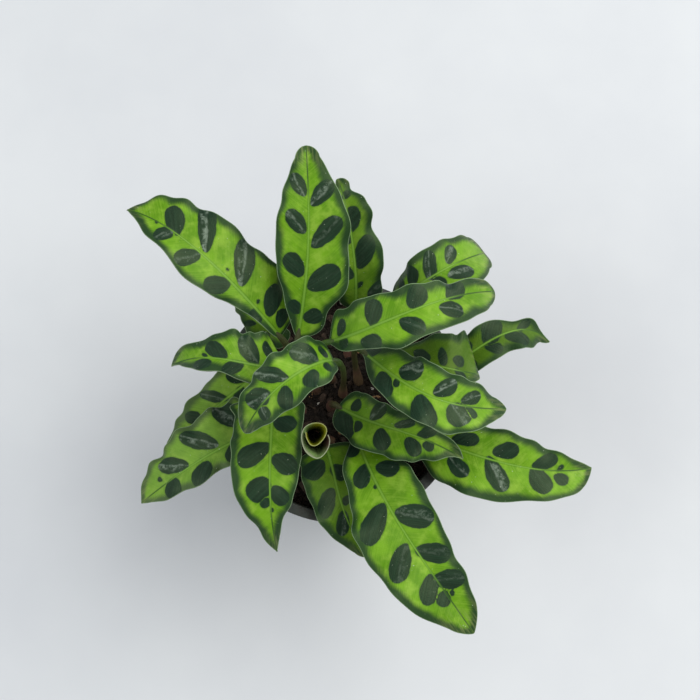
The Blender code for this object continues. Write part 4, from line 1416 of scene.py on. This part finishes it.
class Scatter:
    """A Geometry Nodes tree that strews small rough bits over a surface. Sizes are in millimetres."""

    def __init__(self):
        self.tree = bpy.data.node_groups.new("scatter bits", "GeometryNodeTree")
        self.sockets = {}
        self.nodes = Nodes(self.tree)
        self.make()

    def offer(self, label, kind, value=None):
        socket = self.tree.interface.new_socket(label, in_out="INPUT", socket_type=kind)
        if value is not None:
            socket.default_value = value
        self.sockets[label] = socket.identifier

    def make(self):
        self.offer("Surface", "NodeSocketGeometry")
        self.offer("Per square metre", "NodeSocketFloat", 1000.0)
        self.offer("Radius", "NodeSocketFloat", 0.001)
        self.offer("Spread", "NodeSocketFloat", 0.4)
        self.offer("Shape", "NodeSocketVector", (1.0, 1.0, 0.6))
        self.offer("Roughness", "NodeSocketFloat", 0.3)
        self.offer("Reach", "NodeSocketFloat", 0.043)
        self.offer("Seed", "NodeSocketInt", 1)
        self.offer("Finish", "NodeSocketMaterial")
        self.tree.interface.new_socket("Bits", in_out="OUTPUT", socket_type="NodeSocketGeometry")
        nodes = self.nodes
        given = nodes.add("NodeGroupInput").outputs
        out = nodes.add("NodeGroupOutput").inputs
        place = nodes.add("GeometryNodeInputPosition").outputs[0]
        flat = nodes.add("ShaderNodeVectorMath", {0: place, 1: (1.0, 1.0, 0.0)}, operation="MULTIPLY")
        from_middle = nodes.add("ShaderNodeVectorMath", {0: flat.outputs[0]}, operation="LENGTH").outputs["Value"]
        inside = nodes.add("FunctionNodeCompare", {0: from_middle, 1: given["Reach"]}, operation="LESS_THAN").outputs[0]
        normal = nodes.apart(nodes.add("GeometryNodeInputNormal").outputs[0])
        upward = nodes.add("FunctionNodeCompare", {0: normal[2], 1: 0.2}, operation="GREATER_THAN").outputs[0]
        chosen = nodes.add("FunctionNodeBooleanMath", {0: inside, 1: upward}, operation="AND").outputs[0]
        strewn = nodes.add(
            "GeometryNodeDistributePointsOnFaces",
            {"Mesh": given["Surface"], "Selection": chosen, "Density": given["Per square metre"], "Seed": given["Seed"]},
        )
        bit = nodes.add("GeometryNodeMeshIcoSphere", {"Radius": given["Radius"], "Subdivisions": 1})
        shaped = nodes.add("GeometryNodeTransform", {"Geometry": bit.outputs["Mesh"], "Scale": given["Shape"]})
        turn = nodes.add(
            "FunctionNodeRandomValue",
            {0: (0.0, 0.0, 0.0), 1: (0.9, 0.9, 6.28), "Seed": given["Seed"]},
            data_type="FLOAT_VECTOR",
        )
        low = nodes.sum("SUBTRACT", 1.0, given["Spread"])
        high = nodes.sum("ADD", 1.0, given["Spread"])
        size = nodes.add("FunctionNodeRandomValue", {2: low, 3: high, "Seed": given["Seed"]}, data_type="FLOAT")
        bits = nodes.add(
            "GeometryNodeInstanceOnPoints",
            {
                "Points": strewn.outputs["Points"],
                "Instance": shaped.outputs["Geometry"],
                "Rotation": turn.outputs[0],
                "Scale": size.outputs[1],
            },
        )
        real = nodes.add("GeometryNodeRealizeInstances", {"Geometry": bits.outputs["Instances"]})
        scale = nodes.sum("DIVIDE", 1.3, given["Radius"])
        rough = nodes.add("ShaderNodeTexNoise", {"Vector": place, "Scale": scale, "Detail": 1.0})
        middle = nodes.add("ShaderNodeVectorMath", {0: rough.outputs[1], 1: (0.5, 0.5, 0.5)}, operation="SUBTRACT")
        push = nodes.add("ShaderNodeVectorMath", {0: middle.outputs[0]}, operation="SCALE")
        nodes.feed(push.inputs["Scale"], nodes.sum("MULTIPLY", given["Roughness"], given["Radius"]))
        moved = nodes.add("GeometryNodeSetPosition", {"Geometry": real.outputs[0], "Offset": push.outputs[0]})
        done = nodes.add("GeometryNodeSetMaterial", {"Geometry": moved.outputs[0], "Material": given["Finish"]})
        nodes.feed(out["Bits"], done.outputs[0])

    def strew(self, name, surface, material, **sizes):
        """Strews one kind of bit over the surface and gives the plain mesh object."""
        bits = bpy.data.objects.new(name, surface.data)
        bpy.context.collection.objects.link(bits)
        step = bits.modifiers.new("scatter", "NODES")
        step.node_group = self.tree
        for label, value in {**sizes, "Finish": material}.items():
            step[self.sockets[label.replace("_", " ")]] = value
        bits = evaluated(bits, name, [material])
        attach(bits, "root")
        return bits


def make_crumbs(soil):
    """What lies on the soil: peat crumbs, bark, dry leaf scraps, pale grit and fibres."""
    scatter = Scatter()
    peat = make_earth("peat crumb", PEAT, PEAT_DRY, 3.0)
    bark = make_earth("bark chip", (0.028, 0.019, 0.013, 1), (0.10, 0.07, 0.05, 1), 4.0)
    scrap = make_earth("dry leaf scrap", (0.20, 0.11, 0.05, 1), (0.38, 0.24, 0.12, 1), 5.0)
    grit = make_earth("pale grit", (0.45, 0.42, 0.36, 1), (0.72, 0.70, 0.64, 1), 1.5)
    kinds = (
        ("soil_crumbs_fine", peat, 620000, 0.0006, 0.5, (1.0, 1.0, 0.8), 0.9, 11),
        ("soil_crumbs", peat, 110000, 0.0013, 0.5, (1.0, 0.9, 0.7), 1.0, 12),
        ("soil_bark", bark, 12000, 0.0021, 0.5, (1.3, 0.7, 0.45), 0.9, 13),
        ("soil_scraps", scrap, 5200, 0.0026, 0.4, (1.3, 0.8, 0.16), 0.8, 14),
        ("soil_grit", grit, 5200, 0.0008, 0.4, (1.0, 1.0, 0.8), 0.8, 15),
        ("soil_fibres", bark, 14000, 0.0024, 0.5, (1.6, 0.07, 0.07), 1.2, 16),
    )
    for name, finish, density, radius, spread, shape, rough, seed in kinds:
        scatter.strew(
            name,
            soil,
            finish,
            Per_square_metre=float(density),
            Radius=radius,
            Spread=spread,
            Shape=shape,
            Roughness=rough,
            Reach=0.0445,
            Seed=seed,
        )


def make_stage():
    """A plain pale floor, a soft light from the upper right, a weaker one from the left, and a pale sky."""
    mesh = bpy.data.meshes.new("floor")
    low = -0.2 * MM
    mesh.from_pydata([(-4, -4, low), (4, -4, low), (4, 4, low), (-4, 4, low)], [], [(0, 1, 2, 3)])
    floor = finished("floor", mesh, [make_floor_finish()])
    world = bpy.data.worlds.new("studio")
    world.use_nodes = True
    sky = world.node_tree.nodes["Background"].inputs
    sky["Color"].default_value = (0.95, 0.98, 1.0, 1)
    sky["Strength"].default_value = 0.47
    bpy.context.scene.world = world
    add_light("key", (0.75, 0.3, 1.0), 1.3, 16.0, (1.0, 0.99, 0.96))
    add_light("fill", (-0.8, -0.2, 0.8), 0.8, 4.0, (0.97, 0.99, 1.0))


def add_light(name, place, size, power, colour):
    lamp = bpy.data.lights.new(name, "AREA")
    lamp.size = size
    lamp.energy = power
    lamp.color = colour
    light = bpy.data.objects.new(name, lamp)
    light.location = place
    light.rotation_euler = (Vector((0, 0.02, 0.09)) - Vector(place)).to_track_quat("-Z", "Y").to_euler()
    bpy.context.collection.objects.link(light)


def make_camera():
    """The photograph's view: almost straight down, from a little in front."""
    lens = bpy.data.cameras.new("view")
    lens.lens = 69.0
    lens.sensor_width = 36.0
    camera = bpy.data.objects.new("view", lens)
    target = Vector((4, 21, 90)) * MM
    tilt = math.radians(77)
    camera.location = target + Vector((0, -math.cos(tilt), math.sin(tilt))) * 0.56
    camera.rotation_euler = (target - camera.location).to_track_quat("-Z", "Y").to_euler()
    bpy.context.collection.objects.link(camera)
    bpy.context.scene.camera = camera


def make_plant():
    veins, skin, dust = make_vein_group(), make_cell_group(), make_dust_group()
    stalk = make_stalk(skin, dust)
    make_leaves([make_blade_top(veins, skin), make_blade_under(veins, skin), stalk])
    outside = make_roll_face("rolled leaf outside", ROLL_BROWN, ROLL_PINK, ROLL_BROWN, veins, skin)
    # The inside's bright olive, yellow and grey-green are partly painted light shining through the sheet.
    inside = make_roll_face("rolled leaf inside", ROLL_OLIVE, ROLL_YELLOW, ROLL_GREY, veins, skin)
    make_rolled_leaf([outside, inside, stalk])
    make_pot(make_plastic(dust))
    soil = make_soil(make_earth("potting mix", PEAT, PEAT_DRY, 3.0))
    make_crumbs(soil)


make_plant()
make_stage()
make_camera()
bpy.context.scene.view_settings.view_transform = "Standard"
